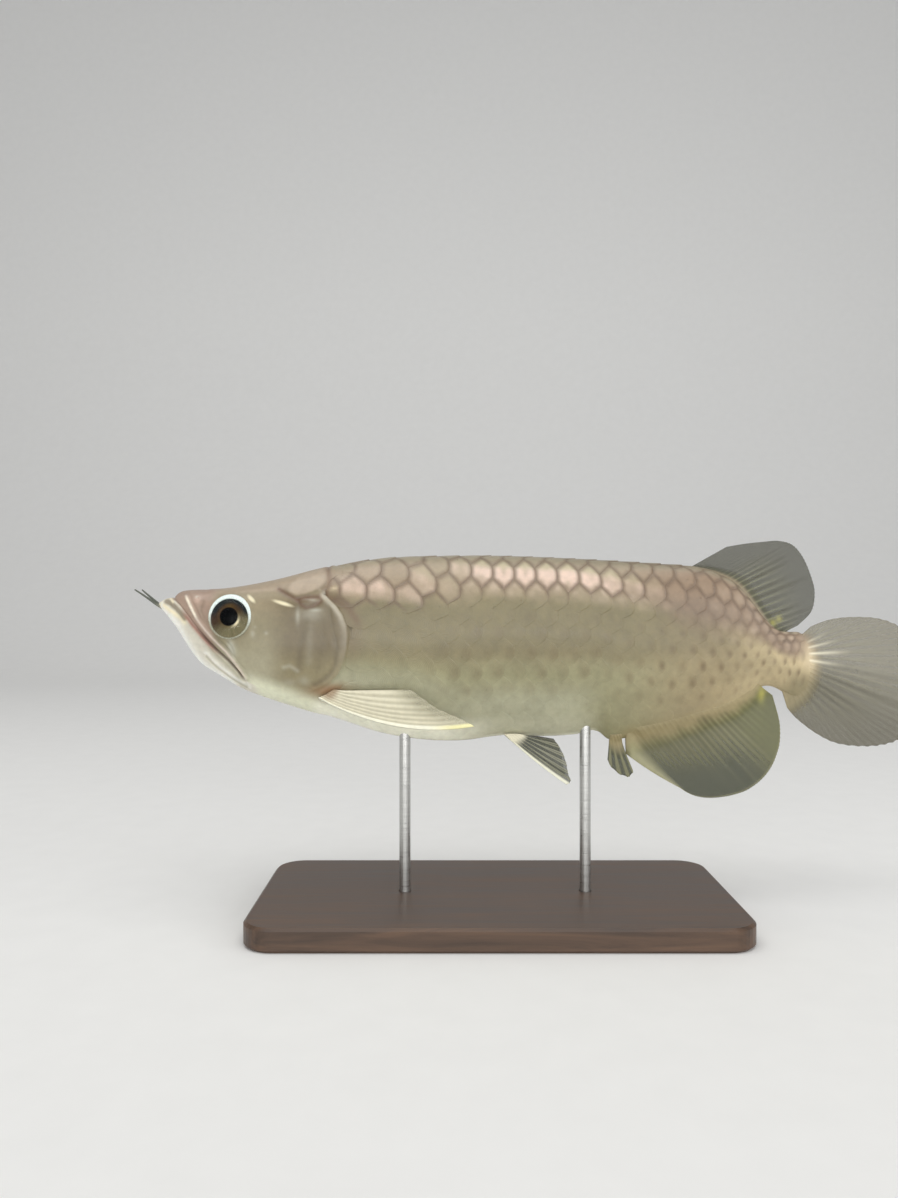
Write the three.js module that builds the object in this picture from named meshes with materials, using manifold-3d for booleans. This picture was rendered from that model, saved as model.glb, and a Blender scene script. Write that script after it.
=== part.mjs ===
// Asian arowana: a still, life-size model of a young fish, held on a flat stand by two rods.
// Millimetres, +Z up. The head points along -X, the fish's left side faces -Y, and the middle of the
// underside of the stand is the origin.
import * as THREE from "three";
import { mergeVertices } from "three/addons/utils/BufferGeometryUtils.js";
import Module from "manifold-3d";

const wasm = await Module();
wasm.setup();

// Sizes that drive the whole fish
const CHIN_X = -150.6;
const TAIL_BASE_X = 137;
const GAP = 0.3;
const FIN_EDGE_HALF = 0.3;
const SECTION_POINTS = 28;
const HEAD_STEP = 3.2;
const TRUNK_STEP = 7.4;
// Limits of the outlines that cut the body, well outside it on every side
const BESIDE = 30;
const ABOVE = 175;
const BELOW = 60;
const AHEAD_X = -170;

// Back of the fish in side view: X, then height. It is nearly straight from the nape to the dorsal fin.
const BACK = [
  [CHIN_X, 139.4],
  [-147.6, 141.2],
  [-144.2, 141.6],
  [-141.2, 144.2],
  [-137, 145.1],
  [-122, 145.7],
  [-99.9, 149.5],
  [-74.7, 155.8],
  [-50, 159.7],
  [-24, 160.7],
  [2, 160.7],
  [38, 159.3],
  [74, 157.2],
  [92, 155.6],
  [101, 152.6],
  [108.5, 148.2],
  [114, 142.2],
  [120, 134.4],
  [125, 129],
  [131, 126.9],
  [TAIL_BASE_X, 126.3],
];
// Underside in side view: X, then height. The steep start is the upturned lower jaw.
const BELLY = [
  [CHIN_X, 137.6],
  [-143.5, 128.8],
  [-136.8, 118.4],
  [-131.8, 112.1],
  [-122.8, 106.3],
  [-112, 100],
  [-88.6, 91.9],
  [-70, 86.5],
  [-51.7, 80.6],
  [-33.7, 77.5],
  [-15, 77],
  [4, 79.3],
  [22, 78.9],
  [36, 79.7],
  [45, 81.5],
  [51.5, 77.4],
  [70.6, 80.6],
  [89, 85.1],
  [105, 89.9],
  [114, 95.6],
  [119, 100.6],
  [124, 101.2],
  [130, 98.4],
  [TAIL_BASE_X, 95.6],
];
// Half of the width at the widest level of each section.
const HALF_WIDTH = [
  [CHIN_X, 1.6],
  [-147.5, 4.2],
  [-143, 6.6],
  [-137, 9.2],
  [-128, 11.9],
  [-117, 14.2],
  [-100, 16.4],
  [-78, 17.9],
  [-50, 18.5],
  [-15, 18.3],
  [20, 16.8],
  [55, 14.2],
  [85, 11],
  [108, 8],
  [124, 5.6],
  [TAIL_BASE_X, 4.2],
];
// Where the widest level lies, as a share of the depth above the belly.
const WIDEST_LEVEL = [
  [CHIN_X, 0.6],
  [-138, 0.64],
  [-118, 0.56],
  [-95, 0.5],
  [-70, 0.52],
  [-20, 0.58],
  [40, 0.58],
  [100, 0.52],
  [TAIL_BASE_X, 0.5],
];
// How flat the back is across: 2 is round, 3 and over is flat with full shoulders.
const BACK_POWER = [
  [CHIN_X, 2.2],
  [-136, 3],
  [-110, 3.3],
  [-75, 3],
  [-40, 2.6],
  [60, 2.3],
  [TAIL_BASE_X, 2.1],
];
// How sharp the keel of the belly is: 0.5 is round, 1 is a straight wedge.
const KEEL_POWER = [
  [CHIN_X, 0.5],
  [-125, 0.55],
  [-90, 0.66],
  [-50, 0.78],
  [40, 0.82],
  [80, 0.7],
  [TAIL_BASE_X, 0.55],
];

// Smooth value of a profile at x
function profileAt(profile, x) {
  const last = profile.length - 1;
  const clamped = Math.min(Math.max(x, profile[0][0]), profile[last][0]);
  let i = 0;
  while (i < last - 1 && clamped > profile[i + 1][0]) {
    i += 1;
  }
  const slope = (k) => {
    const before = profile[Math.max(k - 1, 0)];
    const after = profile[Math.min(k + 1, last)];
    return (after[1] - before[1]) / (after[0] - before[0]);
  };
  const span = profile[i + 1][0] - profile[i][0];
  const u = (clamped - profile[i][0]) / span;
  const rise = u * u * (3 - 2 * u);
  const startBend = u * (1 - u) * (1 - u) * span * slope(i);
  const endBend = u * u * (u - 1) * span * slope(i + 1);
  return profile[i][1] * (1 - rise) + profile[i + 1][1] * rise + startBend + endBend;
}

// Point on the skin at x, at an angle from -90 degrees (keel) to +90 degrees (ridge of the back)
function skinPoint(x, angle, side) {
  const top = profileAt(BACK, x);
  const bottom = profileAt(BELLY, x);
  const level = bottom + profileAt(WIDEST_LEVEL, x) * (top - bottom);
  const half = profileAt(HALF_WIDTH, x);
  const rise = Math.sin(angle);
  if (rise >= 0) {
    const width = half * Math.sqrt(Math.max(1 - rise ** profileAt(BACK_POWER, x), 0));
    return new THREE.Vector3(x, side * width, level + rise * (top - level));
  }
  const width = half * Math.max(1 - rise * rise, 0) ** profileAt(KEEL_POWER, x);
  return new THREE.Vector3(x, side * width, level + rise * (level - bottom));
}

function skinRing(x) {
  const ring = [];
  const perSide = SECTION_POINTS / 2;
  for (let i = 0; i < SECTION_POINTS; i += 1) {
    const side = i < perSide ? 1 : -1;
    const step = i < perSide ? i : SECTION_POINTS - i;
    ring.push(skinPoint(x, Math.PI * (step / perSide - 0.5), side));
  }
  return ring;
}

// Closed surface through rings of points that follow each other
function loft(rings) {
  const count = rings[0].length;
  const positions = rings.flatMap((ring) => ring.flatMap((p) => [p.x, p.y, p.z]));
  const index = [];
  for (let r = 0; r < rings.length - 1; r += 1) {
    for (let j = 0; j < count; j += 1) {
      const a = r * count + j;
      const b = r * count + ((j + 1) % count);
      index.push(a, a + count, b);
      index.push(b, a + count, b + count);
    }
  }
  const ends = [0, (rings.length - 1) * count];
  ends.forEach((start, end) => {
    const ring = rings[end === 0 ? 0 : rings.length - 1];
    const middle = new THREE.Vector3();
    ring.forEach((p) => middle.add(p));
    middle.divideScalar(count);
    const hub = positions.length / 3;
    positions.push(middle.x, middle.y, middle.z);
    for (let j = 0; j < count; j += 1) {
      const a = start + j;
      const b = start + ((j + 1) % count);
      index.push(...(end === 0 ? [hub, a, b] : [hub, b, a]));
    }
  });
  const geometry = new THREE.BufferGeometry();
  geometry.setAttribute("position", new THREE.Float32BufferAttribute(positions, 3));
  geometry.setIndex(index);
  return geometry;
}

// Solid made from a closed geometry, whichever way its faces run
function solid(geometry) {
  const bare = geometry.clone();
  bare.deleteAttribute("normal");
  bare.deleteAttribute("uv");
  const merged = mergeVertices(bare, 1e-4);
  const faces = new Uint32Array(merged.index.array);
  const numbers = merged.attributes.position.array;
  const corner = (n) => new THREE.Vector3().fromArray(numbers, 3 * n);
  let volume = 0;
  for (let i = 0; i < faces.length; i += 3) {
    volume += corner(faces[i]).cross(corner(faces[i + 1])).dot(corner(faces[i + 2]));
  }
  if (volume < 0) {
    for (let i = 0; i < faces.length; i += 3) {
      [faces[i + 1], faces[i + 2]] = [faces[i + 2], faces[i + 1]];
    }
  }
  return new wasm.Manifold(
    new wasm.Mesh({ numProp: 3, vertProperties: new Float32Array(numbers), triVerts: faces }),
  );
}

const group = new THREE.Group();
group.name = "asian_arowana";

function addNode(name, body, color) {
  const mesh = body.getMesh();
  const geometry = new THREE.BufferGeometry();
  geometry.setAttribute("position", new THREE.BufferAttribute(mesh.vertProperties, 3));
  geometry.setIndex(new THREE.BufferAttribute(mesh.triVerts, 1));
  geometry.computeVertexNormals();
  const material = new THREE.MeshStandardMaterial({ color, roughness: 0.5, flatShading: true });
  const node = new THREE.Mesh(geometry, material);
  node.name = name;
  group.add(node);
}

// Slab seen from the side: an outline in X and Z, carried across from one Y to another
function slab(outline, fromY, toY) {
  const shape = new THREE.Shape(outline.map(([x, z]) => new THREE.Vector2(x, z)));
  const geometry = new THREE.ExtrudeGeometry(shape, {
    depth: toY - fromY,
    bevelEnabled: false,
    steps: 1,
  });
  geometry.rotateX(Math.PI / 2);
  geometry.translate(0, toY, 0);
  return solid(geometry);
}

function largest(body) {
  return body.decompose().sort((a, b) => b.volume() - a.volume())[0];
}

// Whole body, closer stations at the head and where the back falls to the tail
const stations = [];
for (let x = CHIN_X; x < TAIL_BASE_X - 1; ) {
  stations.push(x);
  const fine = x < -100 || (x > 92 && x < 130);
  x += fine ? HEAD_STEP : TRUNK_STEP;
}
stations.push(TAIL_BASE_X);
const body = solid(loft(stations.map(skinRing)));

// Head, cut from the trunk along the rear edge of the gill cover
const HEAD_EDGE = [
  [-71, ABOVE],
  [-70.5, 158],
  [-69.4, 142],
  [-66.3, 130],
  [-66.2, 120],
  [-69.2, 111],
  [-75.6, 103],
  [-81, 90],
  [-84, BELOW],
];
const headOutline = [[AHEAD_X, BELOW], [AHEAD_X, ABOVE], ...HEAD_EDGE];
const headSlab = slab(headOutline, -BESIDE, BESIDE);
let head = body.intersect(headSlab);
const trunk = body.subtract(headSlab.translate([GAP, 0, 0]));

// Lower jaw, cut along the slanting mouth
const JAW = [
  [AHEAD_X, 142.5],
  [-147.5, 142.5],
  [-143.2, 140.2],
  [-139.4, 135.4],
  [-135, 129.6],
  [-129.8, 124.4],
  [-124.4, 119],
  [-119.4, 115],
  [-115, 109.2],
  [-112.3, 104.9],
  [-112, BELOW],
  [AHEAD_X, BELOW],
];
const jawSlab = slab(JAW, -BESIDE, BESIDE);
const lowerJaw = largest(head.intersect(jawSlab));
head = head.subtract(jawSlab.translate([0.8 * GAP, 0, 0.8 * GAP]));

// Gill cover on each side: a plate over the rear of the cheek
const GILL_OUTLINE = [
  [-86.5, 139.4],
  [-76, 142.2],
  [-60, 142],
  [-60, 100],
  [-76, 103.2],
  [-84.5, 108.4],
  [-87.6, 120],
];
const GILL_CENTRE = [-76, 122];
const GILL_DEPTH_Y = 8.5;
const gillGapOutline = GILL_OUTLINE.map(([x, z]) => {
  const away = Math.hypot(x - GILL_CENTRE[0], z - GILL_CENTRE[1]);
  const grow = 1 + (1.3 * GAP) / away;
  return [
    GILL_CENTRE[0] + grow * (x - GILL_CENTRE[0]),
    GILL_CENTRE[1] + grow * (z - GILL_CENTRE[1]),
  ];
});
const leftGill = largest(head.intersect(slab(GILL_OUTLINE, -BESIDE, -GILL_DEPTH_Y)));
const rightGill = largest(head.intersect(slab(GILL_OUTLINE, GILL_DEPTH_Y, BESIDE)));
head = head.subtract(slab(gillGapOutline, -BESIDE, -GILL_DEPTH_Y + GAP));
head = head.subtract(slab(gillGapOutline, GILL_DEPTH_Y - GAP, BESIDE));

// Eyes: flattened balls in sockets, level with the cheek
const EYE_X = -115.7;
const EYE_Z = 133.3;
const EYE_Y = 10.9;
const EYE_RADIUS = 9;
const EYE_HALF_THICKNESS = 4.9;
function eyeBall(side, extra) {
  const geometry = new THREE.SphereGeometry(1, 18, 10);
  geometry.rotateX(Math.PI / 2);
  geometry.scale(EYE_RADIUS + extra, EYE_HALF_THICKNESS + extra, EYE_RADIUS + extra);
  geometry.translate(EYE_X, side * EYE_Y, EYE_Z);
  return solid(geometry);
}
head = largest(head.subtract(eyeBall(-1, GAP)).subtract(eyeBall(1, GAP)));

addNode("head", head, 0xa89f86);
addNode("lower_jaw", lowerJaw, 0xd8d6c6);
addNode("gill_cover_left", leftGill, 0x8f8368);
addNode("gill_cover_right", rightGill, 0x8f8368);
addNode("eye_left", eyeBall(-1, 0), 0x3b3428);
addNode("eye_right", eyeBall(1, 0), 0x3b3428);

// Trunk, cut across into two lengths and the tail stalk, with blind sockets for the two rods
const TRUNK_CUT_X = 32;
const STALK_CUT_X = 96;
const ROD_RADIUS = 2.5;
const ROD_DEPTH_IN_FISH = 9;
const ROD_DEPTH_IN_BASE = 6;
const FRONT_ROD_X = -40.5;
const REAR_ROD_X = 40.5;
const BASE_THICKNESS = 10;

function rod(x, radius, shorterTop) {
  const top = profileAt(BELLY, x) + ROD_DEPTH_IN_FISH - shorterTop;
  const bottom = BASE_THICKNESS - ROD_DEPTH_IN_BASE + shorterTop;
  const geometry = new THREE.CylinderGeometry(radius, radius, top - bottom, 20);
  geometry.rotateX(Math.PI / 2);
  geometry.translate(x, 0, (top + bottom) / 2);
  return solid(geometry);
}
const rodHoles = rod(FRONT_ROD_X, ROD_RADIUS + GAP, 0).add(rod(REAR_ROD_X, ROD_RADIUS + GAP, 0));

function lengthOfTrunk(fromX, toX) {
  const outline = [
    [fromX, BELOW],
    [fromX, ABOVE],
    [toX, ABOVE],
    [toX, BELOW],
  ];
  return largest(trunk.intersect(slab(outline, -BESIDE, BESIDE)).subtract(rodHoles));
}
addNode("trunk_front", lengthOfTrunk(HEAD_EDGE[0][0] - BESIDE, TRUNK_CUT_X), 0xa29a7c);
addNode("trunk_rear", lengthOfTrunk(TRUNK_CUT_X + GAP, STALK_CUT_X), 0xa29a7c);
addNode("tail_stalk", lengthOfTrunk(STALK_CUT_X + GAP, TAIL_BASE_X + 5), 0xb5a888);

// Thin fin: rays run from a line along its base to a line along its edge, tapering in thickness.
// bow bends the rays, as a shift that is largest halfway along them.
function fin(baseLine, edgeLine, across, baseHalf, bow) {
  const rays = edgeLine.length * 2 - 1;
  const along = (line, t) => {
    const place = t * (line.length - 1);
    const i = Math.min(Math.floor(place), line.length - 2);
    return line[i].clone().lerp(line[i + 1], place - i);
  };
  const steps = 4;
  const rings = [];
  for (let r = 0; r < rays; r += 1) {
    const t = r / (rays - 1);
    const near = [];
    const far = [];
    for (let s = 0; s <= steps; s += 1) {
      const share = s / steps;
      const middle = along(baseLine, t).lerp(along(edgeLine, t), share);
      middle.addScaledVector(bow, 4 * share * (1 - share) * (1 - t));
      const half = baseHalf + (FIN_EDGE_HALF - baseHalf) * share;
      near.push(middle.clone().addScaledVector(across, half));
      far.unshift(middle.clone().addScaledVector(across, -half));
    }
    rings.push([...near, ...far]);
  }
  return solid(loft(rings));
}
const STRAIGHT = new THREE.Vector3(0, 0, 0);
const SIDEWAYS = new THREE.Vector3(0, 1, 0);
const inMiddle = (points) => points.map(([x, z]) => new THREE.Vector3(x, 0, z));

// Line that follows the back or the belly, standing off it by a little more than the gap
function followBody(profile, fromX, toX, out, count) {
  const line = [];
  for (let i = 0; i <= count; i += 1) {
    const x = fromX + ((toX - fromX) * i) / count;
    const slope = (profileAt(profile, x + 0.5) - profileAt(profile, x - 0.5)) * out;
    const length = Math.hypot(1, slope);
    const off = 1.6 * GAP;
    line.push([x - (off * slope) / length, profileAt(profile, x) + (off * out) / length]);
  }
  return line;
}

// Dorsal fin, swept back over the stalk
const DORSAL_EDGE = [
  [104.4, 164.6],
  [112.5, 166],
  [120.6, 166.9],
  [127.8, 167.5],
  [134.2, 165.6],
  [138.8, 160.3],
  [142.2, 152.6],
  [144.4, 144.3],
  [143.6, 137],
  [137.4, 129.3],
];
const dorsalBase = followBody(BACK, 85.5, 124.5, 1, 9);
const dorsal = fin(inMiddle(dorsalBase), inMiddle(DORSAL_EDGE), SIDEWAYS, 1.1, STRAIGHT);
addNode("dorsal_fin", dorsal, 0x787864);

// Anal fin and, in front of it, its small rounded lobe beside the vent
const ANAL_EDGE = [
  [60.2, 69.6],
  [67.5, 65.2],
  [76.5, 60.3],
  [83.5, 55.8],
  [90, 52],
  [98, 50.9],
  [105.8, 51.8],
  [113.4, 54.2],
  [120.6, 59.5],
  [125.6, 66.7],
  [128.3, 75.3],
  [127.9, 87],
  [124.9, 97.5],
];
const analBase = followBody(BELLY, 57.2, 118.6, -1, 12);
addNode("anal_fin", fin(inMiddle(analBase), inMiddle(ANAL_EDGE), SIDEWAYS, 1.1, STRAIGHT), 0x7d7d5f);
const LOBE_EDGE = [
  [50.6, 67.6],
  [53.2, 63.3],
  [57.2, 60.9],
  [60.8, 60.9],
  [61.8, 63.2],
  [59.6, 66.6],
  [57.2, 70.4],
];
const lobeBase = followBody(BELLY, 51.2, 55.2, -1, 6);
addNode("anal_fin_lobe", fin(inMiddle(lobeBase), inMiddle(LOBE_EDGE), SIDEWAYS, 1, STRAIGHT), 0x6f7260);

// Tail fin, rounded
const TAIL_EDGE = [
  [142.2, 128.8],
  [150.3, 131.8],
  [159.8, 133.2],
  [172.4, 132.6],
  [182.3, 129.1],
  [191.3, 122.4],
  [197, 113.6],
  [199.3, 103.6],
  [198, 94.2],
  [193.5, 85.6],
  [185.9, 79],
  [177, 75.2],
  [166, 73.9],
  [153.9, 75.6],
  [144.4, 80.2],
  [137, 86.8],
  [133.4, 91.6],
];
const TAIL_ROOT = [
  [TAIL_BASE_X + GAP, 125.6],
  [TAIL_BASE_X + GAP + 1.6, 118],
  [TAIL_BASE_X + GAP + 2.2, 110.6],
  [TAIL_BASE_X + GAP + 1.6, 103],
  [TAIL_BASE_X + GAP, 95],
];
addNode("tail_fin", fin(inMiddle(TAIL_ROOT), inMiddle(TAIL_EDGE), SIDEWAYS, 1.6, STRAIGHT), 0x969482);

// Paired fins. Lines are for the right side and are mirrored to the left.
function pairedFin(name, baseLine, edgeLine, across, bow, color) {
  [1, -1].forEach((side) => {
    const turn = ([x, y, z]) => new THREE.Vector3(x, side * y, z);
    const made = fin(baseLine.map(turn), edgeLine.map(turn), turn(across), 0.6, turn(bow));
    addNode(`${name}_${side < 0 ? "left" : "right"}`, made, color);
  });
}
// Pectoral fin, folded back along the lower flank, with a strong bowed first ray
const PECTORAL_BASE = [
  [-76.4, 12.9, 97.2],
  [-72.2, 15, 99.8],
  [-68.4, 16.6, 102.6],
];
const PECTORAL_EDGE = [
  [-9.7, 21, 86.6],
  [-12.8, 21, 88.6],
  [-18.2, 20.9, 91.2],
  [-25, 20.7, 94.2],
  [-30.6, 20.3, 98],
  [-36, 20, 103.1],
];
const PECTORAL_ACROSS = [0.04, 0.9, 0.43];
pairedFin("pectoral_fin", PECTORAL_BASE, PECTORAL_EDGE, PECTORAL_ACROSS, [0, 0, -6], 0xc9c4a6);
// Pelvic fin, short, pointing back and down from the keel
const PELVIC_BASE = [
  [4, 2.6, 78.2],
  [7.6, 2.6, 78.6],
  [11, 2.6, 78.2],
];
const PELVIC_EDGE = [
  [29.6, 9, 60.4],
  [32.8, 9, 59.2],
  [31.4, 8.9, 63],
  [30.8, 8.4, 67.8],
  [29.3, 7.4, 72.6],
  [27.2, 5.6, 77.2],
];
pairedFin("pelvic_fin", PELVIC_BASE, PELVIC_EDGE, [0, 0.93, 0.36], [0, 0, -0.9], 0x7c7e6a);

// Two chin barbels, thin tapering feelers that curve up and forwards
function barbel(side) {
  const path = [
    new THREE.Vector3(-150.9, side * 1.6, 139.4),
    new THREE.Vector3(-154.6, side * 2.4, 140.6),
    new THREE.Vector3(-158, side * 3.6, 142.6),
    new THREE.Vector3(-160.6, side * 5, 145.4),
  ];
  const curve = new THREE.CatmullRomCurve3(path);
  const rings = [];
  const steps = 8;
  for (let i = 0; i <= steps; i += 1) {
    const at = curve.getPoint(i / steps);
    const ahead = curve.getTangent(i / steps);
    const right = new THREE.Vector3(0, 1, 0).cross(ahead).normalize();
    const up = ahead.clone().cross(right);
    const radius = 0.75 - (0.45 * i) / steps;
    const ring = [];
    for (let j = 0; j < 8; j += 1) {
      const angle = (2 * Math.PI * j) / 8;
      const point = at.clone().addScaledVector(right, radius * Math.cos(angle));
      ring.push(point.addScaledVector(up, radius * Math.sin(angle)));
    }
    rings.push(ring);
  }
  return solid(loft(rings));
}
addNode("barbel_left", barbel(-1), 0x5a5f56);
addNode("barbel_right", barbel(1), 0x5a5f56);

// Stand: a flat plate with rounded corners and two upright rods
const BASE_LENGTH = 210;
const BASE_WIDTH = 96;
const BASE_CORNER = 12;
const BASE_EDGE = 1.2;
const plate = new THREE.Shape();
const halfLength = BASE_LENGTH / 2 - BASE_EDGE;
const halfBreadth = BASE_WIDTH / 2 - BASE_EDGE;
const corners = [
  [halfLength, halfBreadth, 0],
  [-halfLength, halfBreadth, 1],
  [-halfLength, -halfBreadth, 2],
  [halfLength, -halfBreadth, 3],
];
corners.forEach(([x, y, quarter]) => {
  const centreX = x - Math.sign(x) * BASE_CORNER;
  const centreY = y - Math.sign(y) * BASE_CORNER;
  const from = (quarter * Math.PI) / 2;
  plate.absarc(centreX, centreY, BASE_CORNER, from, from + Math.PI / 2, false);
});
const plateGeometry = new THREE.ExtrudeGeometry(plate, {
  depth: BASE_THICKNESS - 2 * BASE_EDGE,
  bevelThickness: BASE_EDGE,
  bevelSize: BASE_EDGE,
  bevelSegments: 1,
  curveSegments: 5,
});
plateGeometry.translate(0, 0, BASE_EDGE);
addNode("stand_base", solid(plateGeometry).subtract(rodHoles), 0x2f2b28);
addNode("stand_rod_front", rod(FRONT_ROD_X, ROD_RADIUS, GAP), 0xb8b8b4);
addNode("stand_rod_rear", rod(REAR_ROD_X, ROD_RADIUS, GAP), 0xb8b8b4);

export default group;
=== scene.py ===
import math

import bpy
import numpy as np
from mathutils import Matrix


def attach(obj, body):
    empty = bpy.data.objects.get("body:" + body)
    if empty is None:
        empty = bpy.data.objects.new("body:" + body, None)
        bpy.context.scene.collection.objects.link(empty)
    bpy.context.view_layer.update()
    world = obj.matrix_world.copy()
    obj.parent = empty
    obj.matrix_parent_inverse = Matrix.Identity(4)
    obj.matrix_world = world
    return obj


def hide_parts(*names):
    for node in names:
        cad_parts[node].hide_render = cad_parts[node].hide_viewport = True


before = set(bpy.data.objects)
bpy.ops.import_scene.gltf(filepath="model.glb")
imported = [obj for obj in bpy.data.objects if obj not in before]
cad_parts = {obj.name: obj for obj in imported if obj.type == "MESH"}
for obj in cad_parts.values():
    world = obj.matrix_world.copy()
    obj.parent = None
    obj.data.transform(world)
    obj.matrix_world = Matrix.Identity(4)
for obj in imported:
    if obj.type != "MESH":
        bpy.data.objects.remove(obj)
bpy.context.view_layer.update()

# Skin. One unbroken hide covers the head, jaws, trunk and tail stalk of the living fish: thin, moist
# and pearly, bare on the head and hidden under the scales behind it. It is lofted along the outlines
# of the solids, pushed in and out for lips, bones and creases, and runs out over the tail fin's root.
MM = 0.001
CHIN_X = -150.6
TAIL_BASE_X = 142
BACK = [
    (CHIN_X, 139.4), (-147.6, 141.2), (-144.2, 141.6), (-141.2, 144.2), (-137, 145.1),
    (-122, 145.7), (-99.9, 149.5), (-74.7, 155.8), (-50, 159.7), (-24, 160.7), (2, 160.7),
    (38, 159.3), (74, 157.2), (92, 155.6), (101, 152.6), (108.5, 148.2), (114, 142.2),
    (120, 134.4), (125, 129), (131, 126.9), (136, 126.4), (139, 125),
    (141, 122), (TAIL_BASE_X, 117.5),
]
BELLY = [
    (CHIN_X, 137.6), (-143.5, 128.8), (-136.8, 118.4), (-131.8, 112.1), (-122.8, 106.3),
    (-112, 100), (-88.6, 91.9), (-70, 86.5), (-51.7, 80.6), (-33.7, 77.5), (-15, 77), (4, 79.3),
    (22, 78.9), (36, 79.7), (45, 81.5), (51.5, 77.4), (70.6, 80.6), (89, 85.1), (105, 89.9),
    (114, 95.6), (119, 100.6), (124, 101.2), (130, 98.4), (135.5, 96.6), (139, 98.6),
    (141, 102), (TAIL_BASE_X, 107),
]
HALF_WIDTH = [
    (CHIN_X, 1.6), (-147.5, 4.2), (-143, 6.6), (-137, 9.2), (-128, 11.9), (-117, 14.2),
    (-100, 16.4), (-78, 17.9), (-50, 18.5), (-15, 18.3), (20, 16.8), (55, 14.2), (85, 11),
    (108, 8), (124, 5.6), (131, 4.1), (137, 1.8), (TAIL_BASE_X, 0.1),
]
WIDEST_LEVEL = [
    (CHIN_X, 0.6), (-138, 0.64), (-118, 0.56), (-95, 0.5), (-70, 0.52), (-20, 0.58),
    (40, 0.58), (100, 0.52), (TAIL_BASE_X, 0.5),
]
BACK_POWER = [
    (CHIN_X, 2.2), (-136, 3), (-110, 3.3), (-75, 3), (-40, 2.6), (60, 2.3), (TAIL_BASE_X, 2.1),
]
KEEL_POWER = [
    (CHIN_X, 0.5), (-125, 0.55), (-90, 0.66), (-50, 0.78), (40, 0.82), (80, 0.7),
    (TAIL_BASE_X, 0.55),
]


def smooth_line(points, x):
    places, values = np.array(points, float).T
    x = np.clip(x, places[0], places[-1])
    last = len(places) - 1
    start = np.clip(np.searchsorted(places, x) - 1, 0, last - 1)
    knots = np.arange(last + 1)
    before = np.maximum(knots - 1, 0)
    after = np.minimum(knots + 1, last)
    slopes = (values[after] - values[before]) / (places[after] - places[before])
    span = places[start + 1] - places[start]
    u = (x - places[start]) / span
    rise = u * u * (3 - 2 * u)
    bend = u * (1 - u) ** 2 * span * slopes[start] + u * u * (u - 1) * span * slopes[start + 1]
    return values[start] * (1 - rise) + values[start + 1] * rise + bend


def body_point(x, angle):
    """Place on the plain body: angle runs from -90 degrees at the keel to +90 at the ridge."""
    top = smooth_line(BACK, x)
    bottom = smooth_line(BELLY, x)
    level = bottom + smooth_line(WIDEST_LEVEL, x) * (top - bottom)
    half = smooth_line(HALF_WIDTH, x)
    rise = np.sin(angle)
    lift = np.maximum(rise, 0)
    drop = np.maximum(-rise, 0)
    above = np.sqrt(np.maximum(1 - lift ** smooth_line(BACK_POWER, x), 0))
    below = np.maximum(1 - drop * drop, 0) ** smooth_line(KEEL_POWER, x)
    z = level + lift * (top - level) - drop * (level - bottom)
    return np.stack([x + 0 * angle, half * np.where(rise >= 0, above, below), z], axis=-1)


def fade(low, high, value):
    u = np.clip((value - low) / (high - low), 0, 1)
    return u * u * (3 - 2 * u)


def from_line(x, z, line):
    """Distance in side view from a line of points, and on which side: positive is to its left."""
    near = np.full(np.shape(x), 1e9)
    side = np.ones(np.shape(x))
    for (ax, az), (bx, bz) in zip(line[:-1], line[1:]):
        dx, dz = bx - ax, bz - az
        u = np.clip(((x - ax) * dx + (z - az) * dz) / (dx * dx + dz * dz), 0, 1)
        gap = np.hypot(x - ax - u * dx, z - az - u * dz)
        turn = np.sign(dx * (z - az) - dz * (x - ax))
        side = np.where(gap < near - 1e-6, turn, side)
        near = np.minimum(gap, near)
    return near, side


def bump_at(near, width):
    return np.exp(-((near / width) ** 2))


def spot_at(x, z, middle_x, middle_z, half_long, half_high, slope=0.0):
    """Soft oval spot in side view, 1 at its middle, with its long axis on a slope."""
    across = z - middle_z - slope * (x - middle_x)
    return bump_at(np.hypot((x - middle_x) / half_long, across / half_high), 1.0)


# Lines of the head in side view, from the chin to the rear of the gill cover
MOUTH = [
    (-144, 142.4), (-141.9, 140.2), (-139.2, 137.9), (-136.2, 134.5), (-132.4, 129.7),
    (-127.4, 124), (-122.5, 119), (-117.2, 114.1), (-113.5, 109.9), (-110.4, 105.2),
]
MAXILLA_RIDGE = [
    (-136.7, 142.2), (-135.2, 139.6), (-133.5, 136.6), (-130.9, 131.9), (-127.2, 127.4),
    (-123.1, 123.1), (-117.8, 117.9), (-114.5, 113.6), (-111.5, 109), (-109.8, 105.9),
]
LIP_BAND = [(-147.6, 138), (-146.2, 137), (-144, 135.8), (-141.6, 134.4), (-138.8, 132.8), (-137, 131)]
LIP_INNER = [(-146.4, 140), (-143.9, 139), (-141.2, 137.1), (-138.9, 134.9), (-137, 132.6)]
JAW_LINE = [
    (-127.6, 115.6), (-125.3, 112.9), (-122.8, 110.4), (-119.8, 108.1), (-116.8, 105.7),
    (-113.4, 103.5), (-110.4, 101.9),
]
UNDER_EYE = [(-124.5, 125.4), (-121.3, 123.2), (-118.6, 121), (-116.8, 118.8), (-115.6, 116.6)]
EYE_WRINKLE = [(-116.9, 122.2), (-115.3, 120.4), (-114.4, 118.4)]
SNOUT_CREASE = [(-128.6, 139.6), (-129.4, 136.2), (-128.2, 133), (-126.4, 130.8)]
NAPE_CREASE = [
    (-95, 145.2), (-92.9, 144), (-89.6, 142.3), (-86.4, 140.7), (-83, 141.6), (-79.9, 141.8),
    (-76.4, 141.9), (-74.3, 144),
]
NAPE_REAR = [(-74.9, 156.4), (-73.4, 152.4), (-72.6, 149.2), (-72.9, 146.2), (-74.6, 143.2)]
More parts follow.
